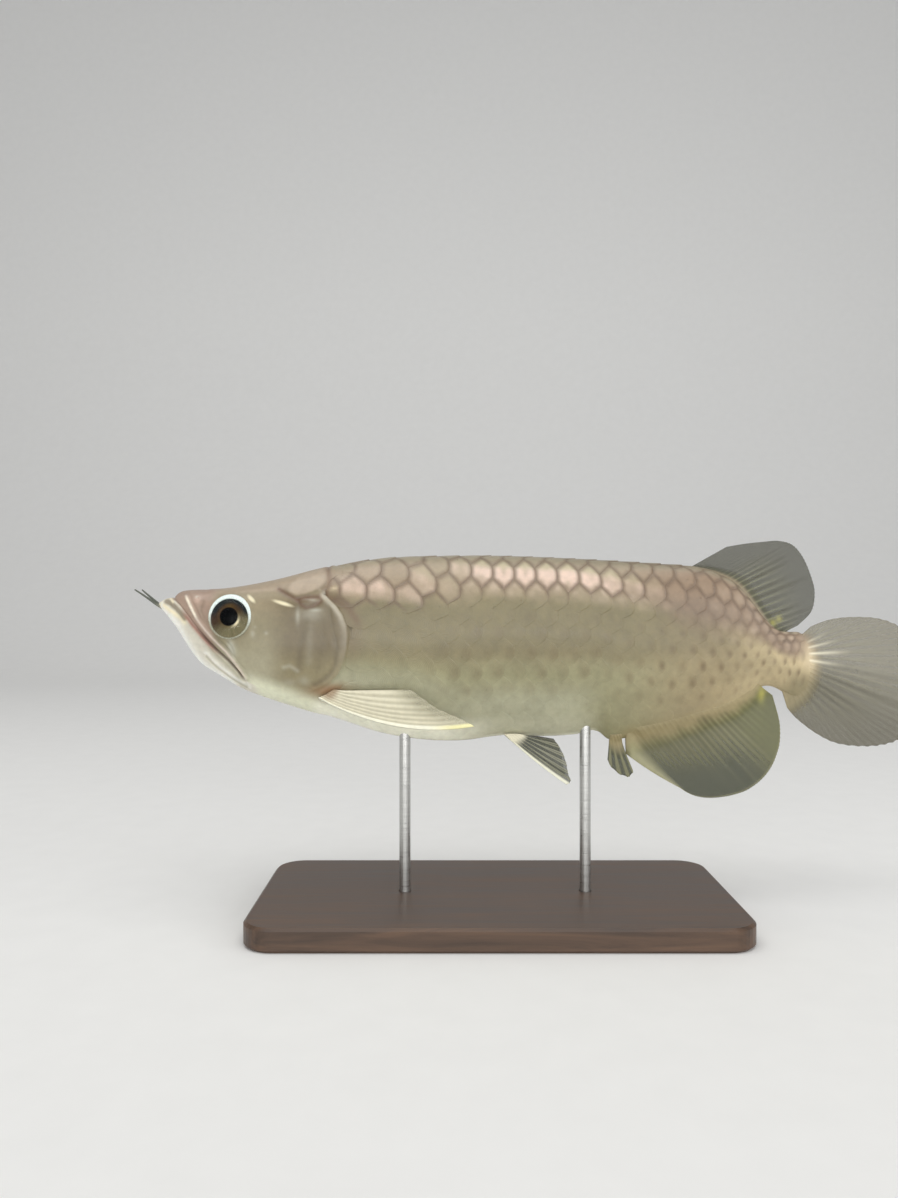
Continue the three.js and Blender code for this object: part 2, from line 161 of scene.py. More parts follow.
LENS_CREASE = [(-86.4, 140.7), (-84.6, 138.6), (-82.4, 137.2), (-79.3, 137.8), (-76.3, 139.7),
               (-74.7, 142)]
ROOF_RIDGE = [(-127, 144.6), (-118, 144.6), (-108, 144.9), (-98, 145.3), (-94.5, 145.4)]
CHEEK_BAR = [(-82.4, 131), (-83.5, 126.8), (-84.4, 122.4), (-84.9, 118), (-85.3, 113.8), (-85.5, 111)]
COVER_STRIP = [(-80.4, 129), (-80.7, 123.3), (-80.7, 119), (-81.2, 113.6)]
COVER_BAR = [(-75.7, 129), (-75.7, 123.3), (-76.2, 118), (-77, 112)]
CHEEK_FOLD = [(-92.3, 111.3), (-89.4, 112), (-86.4, 109.9)]
COVER_RIM = [
    (-74.3, 142.2), (-73.2, 139.2), (-72.2, 136), (-71.5, 132), (-70.7, 128), (-69.6, 124),
    (-68.9, 120), (-69.2, 115.5), (-70.2, 111.6), (-72, 108.6), (-75, 106), (-79.4, 103.6),
]
GILL_EDGE = [
    (-74.6, 142.8), (-72.2, 140.4), (-69.5, 137.9), (-66.8, 134.2), (-65, 129.6), (-64.4, 124.6),
    (-64.9, 119.3), (-66.3, 113.6), (-68.6, 108.6), (-72.6, 104.6), (-79, 101.2), (-87, 98.2),
    (-96, 97.4),
]
SHOULDER_FOLD = [
    (-74.2, 143.6), (-71.4, 141.8), (-68.4, 139.2), (-65.8, 136.6), (-63.8, 133), (-62.8, 129),
]
THROAT_LINE = [(-110.2, 104.2), (-104, 101.6), (-96, 98.6), (-86, 95), (-78, 91.2)]
EYE_X = -115.9
EYE_Z = 133.3
EYE_RADIUS = 9.0
SOCKET_DEPTH = 3.8
NOSTRIL = (-131.4, 140.8)
SCALE_DEPTH = 0.5


def behind_gill(x, z):
    near, side = from_line(x, z, [(-71, 175)] + GILL_EDGE[:10] + [(-80, 96), (-84, 80)])
    return near * side


def head_relief(x, z):
    """How far the head's skin stands out from the plain loft, in millimetres."""
    mouth, mouth_side = from_line(x, z, MOUTH)
    above_mouth = mouth_side > 0
    in_mouth = fade(-109.6, -112.5, x)
    up = -(0.5 + 0.8 * fade(-137, -126, x)) * bump_at(mouth, 0.5) * in_mouth
    up += 0.3 * bump_at(mouth - 1.6, 0.9) * ~above_mouth * in_mouth
    ridge, ridge_side = from_line(x, z, MAXILLA_RIDGE)
    up += 0.5 * bump_at(ridge, 0.7)
    up -= 0.3 * bump_at(ridge - 1.5, 0.6) * (ridge_side > 0)
    jaw, jaw_side = from_line(x, z, JAW_LINE)
    up -= 0.2 * bump_at(jaw, 0.8)
    up += 0.25 * bump_at(jaw - 1.6, 1.2) * (jaw_side > 0)
    gill, gill_side = from_line(x, z, GILL_EDGE)
    raised = 0.4 * fade(98, 108, z) + 0.6 * fade(118, 134, z)
    low = 0.3 + 0.7 * fade(97, 108, z)
    up += 0.45 * low * bump_at(gill, 3.6) * (gill_side < 0)
    up += 0.45 * low * fade(0.5, 0, gill) * (gill_side > 0)
    up -= 0.45 * raised * bump_at(gill - 1.2, 1.1) * (gill_side > 0)
    rim, rim_side = from_line(x, z, COVER_RIM)
    up -= 0.22 * raised * bump_at(rim, 0.8)
    up += 0.16 * bump_at(rim - 2.0, 1.6) * (rim_side < 0)
    for line, depth, width in [
        (CHEEK_BAR, 0.16, 2.0), (COVER_BAR, 0.1, 2.0), (COVER_STRIP, -0.06, 1.6),
        (NAPE_CREASE, 0.35, 0.9), (NAPE_REAR, 0.4, 0.9), (LENS_CREASE, 0.3, 0.9),
        (THROAT_LINE, 0.12, 1.2), (UNDER_EYE, 0.25, 0.6), (EYE_WRINKLE, 0.2, 0.5),
        (SNOUT_CREASE, 0.25, 0.8), (SHOULDER_FOLD, 0.3, 1.3), (CHEEK_FOLD, -0.15, 1.0),
        (ROOF_RIDGE, -0.25, 1.4),
    ]:
        near, _ = from_line(x, z, line)
        up -= depth * bump_at(near, width)
    up += 0.35 * spot_at(x, z, -80.6, 140, 4.5, 1.44)
    up += 0.45 * spot_at(x, z, *NOSTRIL, 1.52, 1.44)
    up -= 0.5 * spot_at(x, z, NOSTRIL[0] + 0.3, NOSTRIL[1] + 0.4, 0.6, 0.36)
    eye = np.hypot(x - EYE_X, z - EYE_Z)
    up += 0.3 * bump_at(eye - EYE_RADIUS - 0.8, 0.7)
    up = up * fade(0, 1, eye - EYE_RADIUS + 0.6)
    return up - SOCKET_DEPTH * fade(EYE_RADIUS - 0.1, EYE_RADIUS - 1.4, eye)


RING = 352
head_stations = np.concatenate([np.arange(CHIN_X, -104, 0.3), np.arange(-104, -60, 0.46)])
trunk_stations = np.concatenate(
    [np.arange(-59, 84, 3.2), np.arange(86, 135, 1.7), np.linspace(136, TAIL_BASE_X, 14)]
)


def rings_at(stations, count):
    steps = np.arange(count)
    angle = np.where(steps <= count // 2, steps, count - steps) * 2 * np.pi / count - np.pi / 2
    side = np.where(steps <= count // 2, 1.0, -1.0)
    x, a = np.meshgrid(stations, angle, indexing="ij")
    points = body_point(x, a)
    points[..., 1] *= side
    ahead = np.gradient(points, axis=0)
    around = np.roll(points, -1, axis=1) - np.roll(points, 1, axis=1)
    normals = np.cross(around, ahead)
    outward = points - points.mean(axis=1, keepdims=True)
    flip = np.sign((normals * outward).sum(axis=-1, keepdims=True).mean())
    normals *= flip / np.maximum(np.linalg.norm(normals, axis=-1, keepdims=True), 1e-9)
    return points, normals


def skin_rings(stations, count):
    points, normals = rings_at(stations, count)
    x, z = points[..., 0], points[..., 2]
    coat = (SCALE_DEPTH + 0.15) * fade(0.0, 2.4 + 7 * fade(106, 97, z), behind_gill(x, z)) + 0.12
    coat = coat * fade(TAIL_BASE_X, 134, x)
    near_front = fade(CHIN_X, CHIN_X + 4, x)
    up = np.where(x < -56, head_relief(x, z), 0) * near_front - coat * near_front
    return points + normals * up[..., None]


def ring_faces(rows, count, first):
    r, j = np.meshgrid(np.arange(rows - 1), np.arange(count), indexing="ij")
    a = first + r * count + j
    b = first + r * count + (j + 1) % count
    return np.stack([a, b, b + count, a + count], axis=-1).reshape(-1, 4)


head_rings = skin_rings(head_stations, RING)
trunk_rings = skin_rings(trunk_stations, RING // 2)
skin_points = np.concatenate([head_rings.reshape(-1, 3), trunk_rings.reshape(-1, 3)])
first_trunk = head_rings.shape[0] * RING
faces = ring_faces(head_rings.shape[0], RING, 0).tolist()
faces += ring_faces(trunk_rings.shape[0], RING // 2, first_trunk).tolist()
last_head = first_trunk - RING
for j in range(RING // 2):
    fine = [last_head + (2 * j + k) % RING for k in range(3)]
    coarse = [first_trunk + j, first_trunk + (j + 1) % (RING // 2)]
    faces.append((fine[0], fine[1], coarse[0]))
    faces.append((fine[1], coarse[1], coarse[0]))
    faces.append((fine[1], fine[2], coarse[1]))
faces.append(tuple(range(RING))[::-1])
faces.append(tuple(range(len(skin_points) - RING // 2, len(skin_points))))


def make_piece(name, points, polygons, smooth=True):
    mesh = bpy.data.meshes.new(name)
    mesh.from_pydata((np.asarray(points) * MM).tolist(), [], [tuple(p) for p in polygons])
    mesh.polygons.foreach_set("use_smooth", [smooth] * len(mesh.polygons))
    mesh.update()
    piece = bpy.data.objects.new(name, mesh)
    bpy.context.scene.collection.objects.link(piece)
    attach(piece, "root")
    return piece


skin = make_piece("fish_skin", skin_points, faces)
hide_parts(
    "head", "lower_jaw", "gill_cover_left", "gill_cover_right", "trunk_front", "trunk_rear",
    "tail_stalk",
)


def paint(*levels):
    c = np.array(levels, float) / 255
    return np.where(c <= 0.04045, c / 12.92, ((c + 0.055) / 1.055) ** 2.4)


def blend(base, colour, share):
    return base + (colour - base) * np.asarray(share)[..., None]


# Colours of the trunk from the ridge of the back to the keel, shared by skin and scales
RIDGE_TAN = paint(153, 143, 121)
SHOULDER_BROWN = paint(160, 144, 122)
UPPER_TAN = paint(158, 144, 120)
REAR_BROWN = paint(148, 128, 108)
FLANK_OLIVE = paint(138, 128, 95)
LOW_OLIVE = paint(145, 141, 109)
LOW_SILVER = paint(166, 164, 138)
KEEL_CREAM = paint(244, 243, 222)
REAR_GOLD = paint(151, 137, 105)
STALK_CREAM = paint(184, 167, 131)
VENT_GOLD = paint(150, 135, 96)
SHOULDER_SHADE = paint(116, 103, 78)
SHOULDER_CREASE = [(-75.5, 143.2), (-69, 140), (-63.5, 136.7), (-60.5, 132), (-59, 127)]
BROWN_AND_CREASE_SHADE = paint(104, 78, 62)
FIN_BASE_BROWN = paint(150, 117, 86)
ROOT_CREAM = paint(214, 197, 164)
STALK_GOLD = paint(137, 126, 95)
PECTORAL_ROOT = (-73.5, 100.92)


def patches(x, z, size, seed):
    """Soft random patches of about one size in side view, between -1 and 1."""
    table = np.random.default_rng(seed).uniform(-1, 1, (64, 64))
    u, v = x / size + 200, z / size + 200
    i, j = np.floor(u).astype(int), np.floor(v).astype(int)
    f, g = fade(0, 1, u - i), fade(0, 1, v - j)
    i, j = i % 63, j % 63
    low = table[i, j] * (1 - f) + table[i + 1, j] * f
    high = table[i, j + 1] * (1 - f) + table[i + 1, j + 1] * f
    return low * (1 - g) + high * g


def trunk_colour(x, depth):
    """Colour of the trunk by place along it and by depth, 0 at the back and 1 at the keel."""
    shape = (*np.shape(x), 3)
    uneven = fade(0.1, 0.16, depth) * fade(0.4, 0.3, depth)
    depth = depth + 0.02 * patches(x, 80 * depth, 5, 8) * uneven
    ridge_tan = RIDGE_TAN * (1 - 0.14 * fade(10, 50, x))[..., None]
    upper = blend(np.broadcast_to(SHOULDER_BROWN, shape), UPPER_TAN, fade(-40, -20, x))
    upper = blend(upper, REAR_BROWN, fade(40, 85, x))
    middle = blend(np.broadcast_to(FLANK_OLIVE, shape), REAR_GOLD, fade(55, 100, x))
    middle = blend(middle, STALK_CREAM, fade(98, 126, x) * fade(0.2, 0.45, depth))
    low = blend(np.broadcast_to(LOW_OLIVE, shape), REAR_GOLD, fade(45, 95, x))
    low = blend(low, STALK_CREAM, 0.6 * fade(98, 126, x))
    # The low flank over the anal fin is painted lighter to offset the shade where the fin meets the
    # body.
    over_anal_fin = fade(88, 104, x) * fade(124, 112, x) * fade(0.72, 0.84, depth)
    low = low * (1 + 0.16 * over_anal_fin)[..., None]
    c = blend(ridge_tan, upper, fade(0.01, 0.07, depth))
    lower_brown = 0.12 * fade(62, 92, x)
    c = blend(c, middle, fade(0.15 + lower_brown, 0.29 + 1.6 * lower_brown, depth))
    c = blend(c, low, fade(0.5, 0.65, depth))
    shade = fade(122, 92, x) * fade(-66, -56, x) * fade(0.15, 0.3, depth) * fade(0.62, 0.46, depth)
    c = c * (1 - 0.22 * shade)[..., None]
    front = fade(-10, -40, x)
    silver = fade(0.64 - 0.1 * front, 0.82 - 0.06 * front, depth) * fade(52, 30, x)
    c = blend(c, LOW_SILVER, silver)
    cream = (0.12 + 0.88 * fade(5, -28, x)) * fade(0.84, 0.94, depth) * fade(50, 40, x)
    keel = 0.55 * fade(0.975, 0.995, depth) * fade(48, 42, x)
    return blend(c, KEEL_CREAM, np.maximum(cream, keel))


def depth_at(x, z):
    """How far down the side a place lies, 0 at the back and 1 at the keel."""
    top, bottom = smooth_line(BACK, np.minimum(x, 135)), smooth_line(BELLY, np.minimum(x, 135))
    return np.clip((top - z) / (top - bottom), 0, 1)


def coat_colour(x, z):
    depth = depth_at(x, z)
    c = trunk_colour(x, depth)
    c = blend(c, ROOT_CREAM, 0.8 * spot_at(x, z, 142, 115.5, 4.2, 7))
    c = blend(c, STALK_GOLD, fade(1.3, 0.5, np.hypot((x - 139) / 12, (z - 96) / 12)))
    mottled = 0.05 * patches(x, z, 8, 1) + 0.06 * patches(x, 0.7 * z, 2.6, 2)
    c = c * (1 + mottled * fade(0.1, 0.25, depth) * fade(0.95, 0.8, depth))[..., None]
    behind = behind_gill(x, z)
    shadow = fade(10, 2.5, behind) * fade(148, 141, z) * fade(108, 124, z)
    c = blend(c, SHOULDER_SHADE, 0.8 * shadow)
    # Painted shade in the crease behind the nape, and in the crease behind the gill cover, which is
    # partly dark skin too.
    crease, _ = from_line(x, z, NAPE_REAR)
    c = blend(c, BROWN_AND_CREASE_SHADE, 0.55 * bump_at(crease, 1.5))
    fold, _ = from_line(x, z, SHOULDER_CREASE)
    c = blend(c, BROWN_AND_CREASE_SHADE, 0.5 * bump_at(fold, 1.5) * fade(126, 133, z))
    # A small painted highlight on the shoulder, just behind the nape.
    c = blend(c, ROOT_CREAM, 0.7 * spot_at(x, z, -70.8, 145.9, 1.7, 0.8, 0.25))
    # Gold skin by the anal fin's root, painted lighter towards the rear to offset the shade where the
    # fin meets the body.
    above_fin = z - smooth_line(BELLY, x)
    by_fin = 0.6 * fade(8, 1, above_fin) * fade(53, 60, x) * fade(122, 112, x)
    c = blend(c, VENT_GOLD, by_fin) * (1 + 0.25 * by_fin * fade(80, 105, x))[..., None]
    return blend(c, FIN_BASE_BROWN, 0.7 * spot_at(x, z, *PECTORAL_ROOT, 9.5, 2.7, 0.08))


ROOF_BROWN = paint(163, 147, 125)
SNOUT_PINK = paint(158, 136, 120)
NOSTRIL_PINK = paint(196, 166, 150)
CHEEK = paint(136, 127, 99)
LOW_CHEEK = paint(161, 155, 130)
COVER = paint(113, 101, 77)
LOW_COVER = paint(138, 128, 98)
DARK_BAND_AND_SHADE = paint(104, 94, 72)
NAPE_TAN = paint(172, 156, 136)
JAW_WHITE = paint(250, 250, 242)
JAW_INNER = paint(208, 203, 187)
JAW_SHADE = paint(170, 165, 140)
LIP_GOLD = paint(240, 228, 194)
LIP_GREY = paint(134, 122, 102)
THROAT = paint(222, 223, 196)
MOUTH_SHADE = paint(78, 56, 46)
LIP_RED = paint(138, 86, 70)
MAXILLA_HIGHLIGHT = paint(206, 192, 178)
MAXILLA_GLINT = paint(242, 232, 210)
SILVER_AND_SHEEN = paint(196, 196, 182)
HEAD_GLINT_GOLD = paint(240, 230, 196)
PALE_BAND = paint(190, 182, 164)
CHIN_OUTLINE = [(-150, 138.4), (-141.9, 129.2), (-136, 118.4), (-130.6, 111.2), (-118, 103.4)]
LIP_RIM = [
    (-150, 138.2), (-149.2, 140.4), (-147.6, 141.3), (-145.6, 141.5), (-144.2, 140.8),
    (-142.8, 139.6),
]
# Soft spots: colour, share, middle, half length and height, and the slope they lie on; the first is a
# painted shadow ahead of the gill cover, and the silver ones are painted highlights and pale specks
HEAD_SPOTS = [
    (DARK_BAND_AND_SHADE, 0.35, -90, 121.5, 1.9, 4.5, 0), (NOSTRIL_PINK, 0.7, *NOSTRIL, 1.9, 1.9, 0),
    (SILVER_AND_SHEEN, 0.7, -115.2, 119.72, 1.8, 3.2, -0.6), (SILVER_AND_SHEEN, 0.3, -80, 134.4, 5, 3, 0),
    (SILVER_AND_SHEEN, 0.4, -85.9, 133.6, 0.9, 3.4, 0), (SILVER_AND_SHEEN, 0.5, -78.4, 136.2, 2.6, 0.8, 0),
    (SILVER_AND_SHEEN, 0.25, -83.6, 105.4, 2.4, 2, 0), (SILVER_AND_SHEEN, 0.2, -90, 104.6, 3, 1.6, 0),
    (SILVER_AND_SHEEN, 0.5, -131.8, 142, 0.7, 0.5, 0), (SILVER_AND_SHEEN, 0.3, -105.6, 125.9, 1.0, 1.6, 0),
    (SILVER_AND_SHEEN, 0.2, -104.6, 128.8, 0.7, 0.7, 0), (SILVER_AND_SHEEN, 0.3, -99.6, 126.2, 0.8, 0.8, 0),
    (SILVER_AND_SHEEN, 0.12, -131.3, 141.4, 2.0, 1.6, 0),
]
# Creases and bars: line, colour, share and half width; the creases are painted darker as shade in
# their grooves
HEAD_LINES = [
    (CHEEK_BAR, DARK_BAND_AND_SHADE, 0.65, 1.8), (COVER_BAR, DARK_BAND_AND_SHADE, 0.35, 2.6),
    (COVER_STRIP, SILVER_AND_SHEEN, 0.1, 1.7), (CHEEK_FOLD, SILVER_AND_SHEEN, 0.28, 0.9),
    (NAPE_CREASE, BROWN_AND_CREASE_SHADE, 0.75, 1.1), (NAPE_REAR, BROWN_AND_CREASE_SHADE, 0.6, 1.5),
    (LENS_CREASE, BROWN_AND_CREASE_SHADE, 0.7, 0.9), (COVER_RIM, DARK_BAND_AND_SHADE, 0.6, 1.1),
    (UNDER_EYE, DARK_BAND_AND_SHADE, 0.35, 0.6), (EYE_WRINKLE, DARK_BAND_AND_SHADE, 0.3, 0.5),
    (SNOUT_CREASE, DARK_BAND_AND_SHADE, 0.25, 1.2),
]
# Painted gold glints behind the eye: middle, half length, half height and lean in radians
GOLD_GLINTS = [(-106.8, 141, 2.6, 0.9, -0.72), (-92.6, 139.1, 4.7, 0.85, -0.28)]


def head_colour(x, z):
    c = blend(np.broadcast_to(CHEEK, (*np.shape(x), 3)), ROOF_BROWN, 0.4 * fade(129, 140, z))
    c = blend(c, LOW_CHEEK, fade(128, 112, z) * fade(-86, -100, x))
    # The gill cover is darker above and painted lighter low down, to offset the shade that falls
    # there.
    cover = blend(np.broadcast_to(LOW_COVER, c.shape), COVER, fade(110, 122, z))
    c = blend(c, cover, fade(-103, -86, x) * fade(143, 138, z))
    c = blend(c, ROOF_BROWN, fade(142.6, 144.4, z - 0.035 * (x + 118)))
    lean_x = 0.91 * (x + 82) + 0.41 * (z - 148.4)
    lean_z = 0.91 * (z - 148.4) - 0.41 * (x + 82)
    nape = np.hypot(lean_x / 9.6, lean_z / 4.6)
    c = blend(c, DARK_BAND_AND_SHADE, 0.4 * bump_at(nape - 1.12, 0.22) * fade(151, 147, z - 0.2 * (x + 82)))
    c = blend(c, NAPE_TAN, fade(1.08, 0.8, nape))
    c = blend(c, SNOUT_PINK, fade(-120, -127, x))
    # Among the spots are a painted shadow and painted highlights.
    for colour, share, *place in HEAD_SPOTS:
        c = blend(c, colour, share * spot_at(x, z, *place))
    # The creases among these lines are painted shade.
    for line, colour, share, width in HEAD_LINES:
        near, _ = from_line(x, z, line)
        c = blend(c, colour, share * bump_at(near, width))
    # The lens between the nape creases keeps its own brown, with a painted highlight across it.
    c = blend(c, BROWN_AND_CREASE_SHADE, 0.35 * spot_at(x, z, -80.6, 140.1, 4.75, 1.425))
    c = blend(c, SILVER_AND_SHEEN, 0.4 * spot_at(x, z, -79.4, 140.4, 2.2, 0.5))
    mouth, mouth_side = from_line(x, z, MOUTH)
    ridge, _ = from_line(x, z, MAXILLA_RIDGE)
    # A painted highlight along the maxilla's ridge, and a painted gold glint on its upper part.
    c = blend(c, MAXILLA_HIGHLIGHT, 0.8 * bump_at(ridge, 0.62))
    ridge_glint = (0.8 + 0.2 * patches(x, z, 0.7, 4)) * fade(131, 135, z) * fade(143.2, 140.4, z)
    c = blend(c, MAXILLA_GLINT, ridge_glint * bump_at(ridge - 0.1, 0.5))
    pale_from = z - smooth_line(BELLY, x)
    c = blend(c, THROAT, fade(13, 4.5, pale_from) * fade(-113, -106, x))
    below, below_side = from_line(x, z, [(-170, 150), *MOUTH[1:], *THROAT_LINE[1:]])
    under = fade(0.3, -0.3, below * below_side) * fade(-103, -109, x)
    c = blend(c, JAW_INNER, under)
    front, _ = from_line(x, z, CHIN_OUTLINE)
    c = blend(c, JAW_WHITE, 0.95 * bump_at(front, 2.8) * under)
    beside = bump_at(mouth - 1.4, 1.6) * (mouth_side < 0) * fade(-130, -122, x)
    c = blend(c, JAW_SHADE, 0.75 * beside * under)
    band, _ = from_line(x, z, LIP_BAND)
    c = blend(c, LIP_GOLD, 0.9 * bump_at(band, 1.2) * under)
    inner_lip, _ = from_line(x, z, LIP_INNER)
    c = blend(c, LIP_GREY, 0.85 * bump_at(np.maximum(inner_lip - 0.5, 0), 0.9) * (mouth_side < 0))
    lip_rim, _ = from_line(x, z, LIP_RIM)
    c = blend(c, LIP_GOLD, 0.85 * bump_at(lip_rim, 0.55))
    jaw, jaw_side = from_line(x, z, JAW_LINE)
    c = blend(c, JAW_SHADE, 0.75 * bump_at(jaw, 0.55))
    c = blend(c, JAW_WHITE, 0.45 * bump_at(jaw - 1.5, 0.9) * (jaw_side > 0))
    in_mouth = fade(-109.8, -112, x)
    lip_red = bump_at(mouth + 0.7 * mouth_side, 1.0) * fade(-119, -126, x) * fade(-139.5, -135, x)
    c = blend(c, LIP_RED, 0.85 * lip_red)
    # Painted shade in the slit of the mouth.
    c = blend(c, MOUTH_SHADE, 0.8 * bump_at(mouth, 0.6) * in_mouth * fade(-135, -125, x))
    # Painted gold glints behind the eye.
    for middle_x, middle_z, long, high, lean in GOLD_GLINTS:
        across = (z - middle_z) * math.cos(lean) - (x - middle_x) * math.sin(lean)
        down = (x - middle_x) * math.cos(lean) + (z - middle_z) * math.sin(lean)
        c = blend(c, HEAD_GLINT_GOLD, 0.9 * fade(1.35, 0.35, np.hypot(down / long, across / high)))
    return c * (1 + 0.035 * patches(x, z, 3.2, 5) + 0.03 * patches(x, z, 1.2, 6))[..., None]


def fish_colour(x, z):
    c = coat_colour(x, z)
    # Painted shade in the fold behind the gill cover, which is partly dark skin too.
    fold, _ = from_line(x, z, SHOULDER_FOLD)
    c = blend(c, DARK_BAND_AND_SHADE, 0.6 * bump_at(fold, 2.0))
    behind = behind_gill(x, z)
    soft = 0.3 + 3 * fade(106, 97, z)
    c = blend(c, head_colour(x, z), fade(1, -1, behind / soft))
    edge, _ = from_line(x, z, GILL_EDGE[:10])
    high = fade(124, 138, z)
    middle = fade(112, 124, z)
    band = bump_at(np.maximum(edge - 0.8, 0), 1.9 - 0.9 * high) * fade(0.5, -0.2, behind)
    c = blend(c, PALE_BAND, (0.1 + 0.12 * middle) * band + 0.55 * band * high)
    return blend(c, FIN_BASE_BROWN, 0.7 * spot_at(x, z, *PECTORAL_ROOT, 9.5, 2.7, 0.08))


def colour_points(piece, name, colours, alpha=None):
    layer = piece.data.color_attributes.new(name, "FLOAT_COLOR", "POINT")
    values = np.ones((len(piece.data.vertices), 4))
    values[:, :3] = np.clip(np.reshape(colours, (-1, 3)), 0, 1)
    if alpha is not None:
        values[:, 3] = np.reshape(alpha, -1)
    layer.data.foreach_set("color", values.ravel())


colour_points(skin, "hide_tint", fish_colour(skin_points[:, 0], skin_points[:, 2]))


def start_material(name):
    material = bpy.data.materials.new(name)
    material.use_nodes = True
    nodes = material.node_tree.nodes
    return material, nodes, material.node_tree.links, nodes["Principled BSDF"]


def add_node(nodes, kind, **settings):
    node = nodes.new(kind)
    for name, value in settings.items():
        socket = node.inputs.get(name.replace("_", " "))
        if socket is not None and not hasattr(node, name):
            socket.default_value = value
        else:
            setattr(node, name, value)
    return node


def spread(nodes, links, source, low, high, near=0.3, far=0.7):
    """Turns a texture's middle range into a range between two numbers."""
    step = add_node(nodes, "ShaderNodeMapRange", From_Min=near, From_Max=far, To_Min=low, To_Max=high)
    links.new(source, step.inputs["Value"])
    return step.outputs["Result"]


def moist_hide(name, attribute, rough, pore_size, pore_depth):
    """Wet, faintly pearly hide: painted colours broken by fine mottling, pores and a thin gloss."""
    material, nodes, links, shader = start_material(name)
    colours = add_node(nodes, "ShaderNodeAttribute", attribute_name=attribute)
    place = add_node(nodes, "ShaderNodeTexCoord")
    mottle = add_node(nodes, "ShaderNodeTexNoise", Scale=420.0, Detail=5.0, Roughness=0.6)
    links.new(place.outputs["Object"], mottle.inputs["Vector"])
    tinted = add_node(nodes, "ShaderNodeVectorMath", operation="SCALE")
    links.new(colours.outputs["Color"], tinted.inputs[0])
    links.new(spread(nodes, links, mottle.outputs["Fac"], 0.93, 1.06), tinted.inputs["Scale"])
    links.new(tinted.outputs["Vector"], shader.inputs["Base Color"])
    gloss = spread(nodes, links, mottle.outputs["Fac"], rough - 0.07, rough + 0.09)
    links.new(gloss, shader.inputs["Roughness"])
    pores = add_node(nodes, "ShaderNodeTexNoise", Scale=pore_size, Detail=3.0)
    links.new(place.outputs["Object"], pores.inputs["Vector"])
    bump = add_node(nodes, "ShaderNodeBump", Strength=0.35, Distance=pore_depth)
    links.new(pores.outputs["Fac"], bump.inputs["Height"])
    links.new(bump.outputs["Normal"], shader.inputs["Normal"])
    shader.inputs["Specular IOR Level"].default_value = 0.4
    shader.inputs["Coat Weight"].default_value = 0.15
    shader.inputs["Coat Roughness"].default_value = 0.2
    shader.inputs["Subsurface Weight"].default_value = 0.05
    shader.inputs["Subsurface Radius"].default_value = (0.003, 0.0016, 0.001)
    return material, nodes, links, bump


hide, _, _, _ = moist_hide("moist_head_skin", "hide_tint", 0.4, 1500.0, 0.00012)
skin.data.materials.append(hide)


# Scales. Large, thin, overlapping plates of bone under clear skin, in rows from the gill cover to the
# tail fin, each rooted under the one in front and free at its rear edge. They are built as joined
# plates, three sets to a side, on rows measured round the body from the ridge of the back.
PITCH = [
    (-95, 11.6), (-65, 11.8), (-46, 12.2), (-32, 11.9), (-22, 10.6), (-11, 9.5), (60, 9.6),
    (85, 9.2), (98, 8.0), (112, 6.2), (125, 5.0), (142, 4.3),
]
THIRD_ROW = [
    (-95, 8), (-75, 10), (-55, 12.8), (-40, 16), (-30, 19.6), (-20, 22.8), (-10, 24.3), (5, 24.6),
    (35, 23.8), (50, 24.2), (62, 25.2), (85, 26), (95, 26.4), (102, 25), (110, 21.5), (118, 13),
    (126, 5.5), (134, 2), (142, 0),
]
ROW_SHIFT = [(0, 0), (8.3, -3.0), (16.4, -0.3), (24.6, 1.3), (33, 0.8), (41, 0.1), (46, 0), (90, 0)]
COLUMN_ZERO_X = 3.0
HALF_HEIGHT = 0.8
REAR_REACH = 0.53
FRONT_REACH = 1.0
PLATE_CELLS = 18
FIRST_COLUMN = -9
LAST_COLUMN = 18
REAR_RISE = 0.36
FRONT_SUNK = 0.28
RIM_DROP = 0.26
PLATE_DOME = 0.08
NET_WIDTH = 2.0
# Plates painted with a highlight where they mirror the light, by row and column, with how strongly
# they do
MIRRORING = {
    (4, -6): 0.6, (4, -5): 0.6, (4, -4): 0.3, (3, -5.5): 0.12, (3, -3.5): 0.35, (3, -2.5): 0.12,
    (2, -2): 0.3, (2, -1): 0.85, (2, 0): 0.95, (2, 1): 1.0, (2, 2): 1.0, (2, 3): 1.0,
    (2, 4): 0.9, (2, 5): 0.75, (2, 6): 0.4, (2, 7): 0.12,
}
NET_BROWN = paint(108, 90, 74)
HIGHLIGHT_TAN = paint(192, 182, 150)
PEARL_HIGHLIGHT = paint(216, 192, 175)
TIP_TAN = paint(186, 168, 148)
SPOT_BROWN = paint(100, 82, 60)

girth_x = np.arange(-100, 142, 1.0)
girth_angle = np.linspace(np.pi / 2, -np.pi / 2, 361)
wide_x, wide_angle = np.meshgrid(np.minimum(girth_x, TAIL_BASE_X), girth_angle, indexing="ij")
outline = body_point(wide_x, wide_angle)
steps = np.hypot(np.diff(outline[..., 1], axis=1), np.diff(outline[..., 2], axis=1))
walked = np.concatenate([np.zeros((len(girth_x), 1)), np.cumsum(steps, axis=1)], axis=1)
half_girth = walked[:, -1]
even_share = np.linspace(0, 1, 401)
angle_by_share = np.array([np.interp(even_share, row / row[-1], girth_angle) for row in walked])


def angle_at(x, share):
    row = np.clip(x - girth_x[0], 0, len(girth_x) - 1.001)
    column = np.clip(share, 0, 1) * (len(even_share) - 1.001)
    i, j = row.astype(int), column.astype(int)
    u, v = row - i, column - j
    near = angle_by_share[i, j] * (1 - v) + angle_by_share[i, j + 1] * v
    far = angle_by_share[i + 1, j] * (1 - v) + angle_by_share[i + 1, j + 1] * v
    return near * (1 - u) + far * u


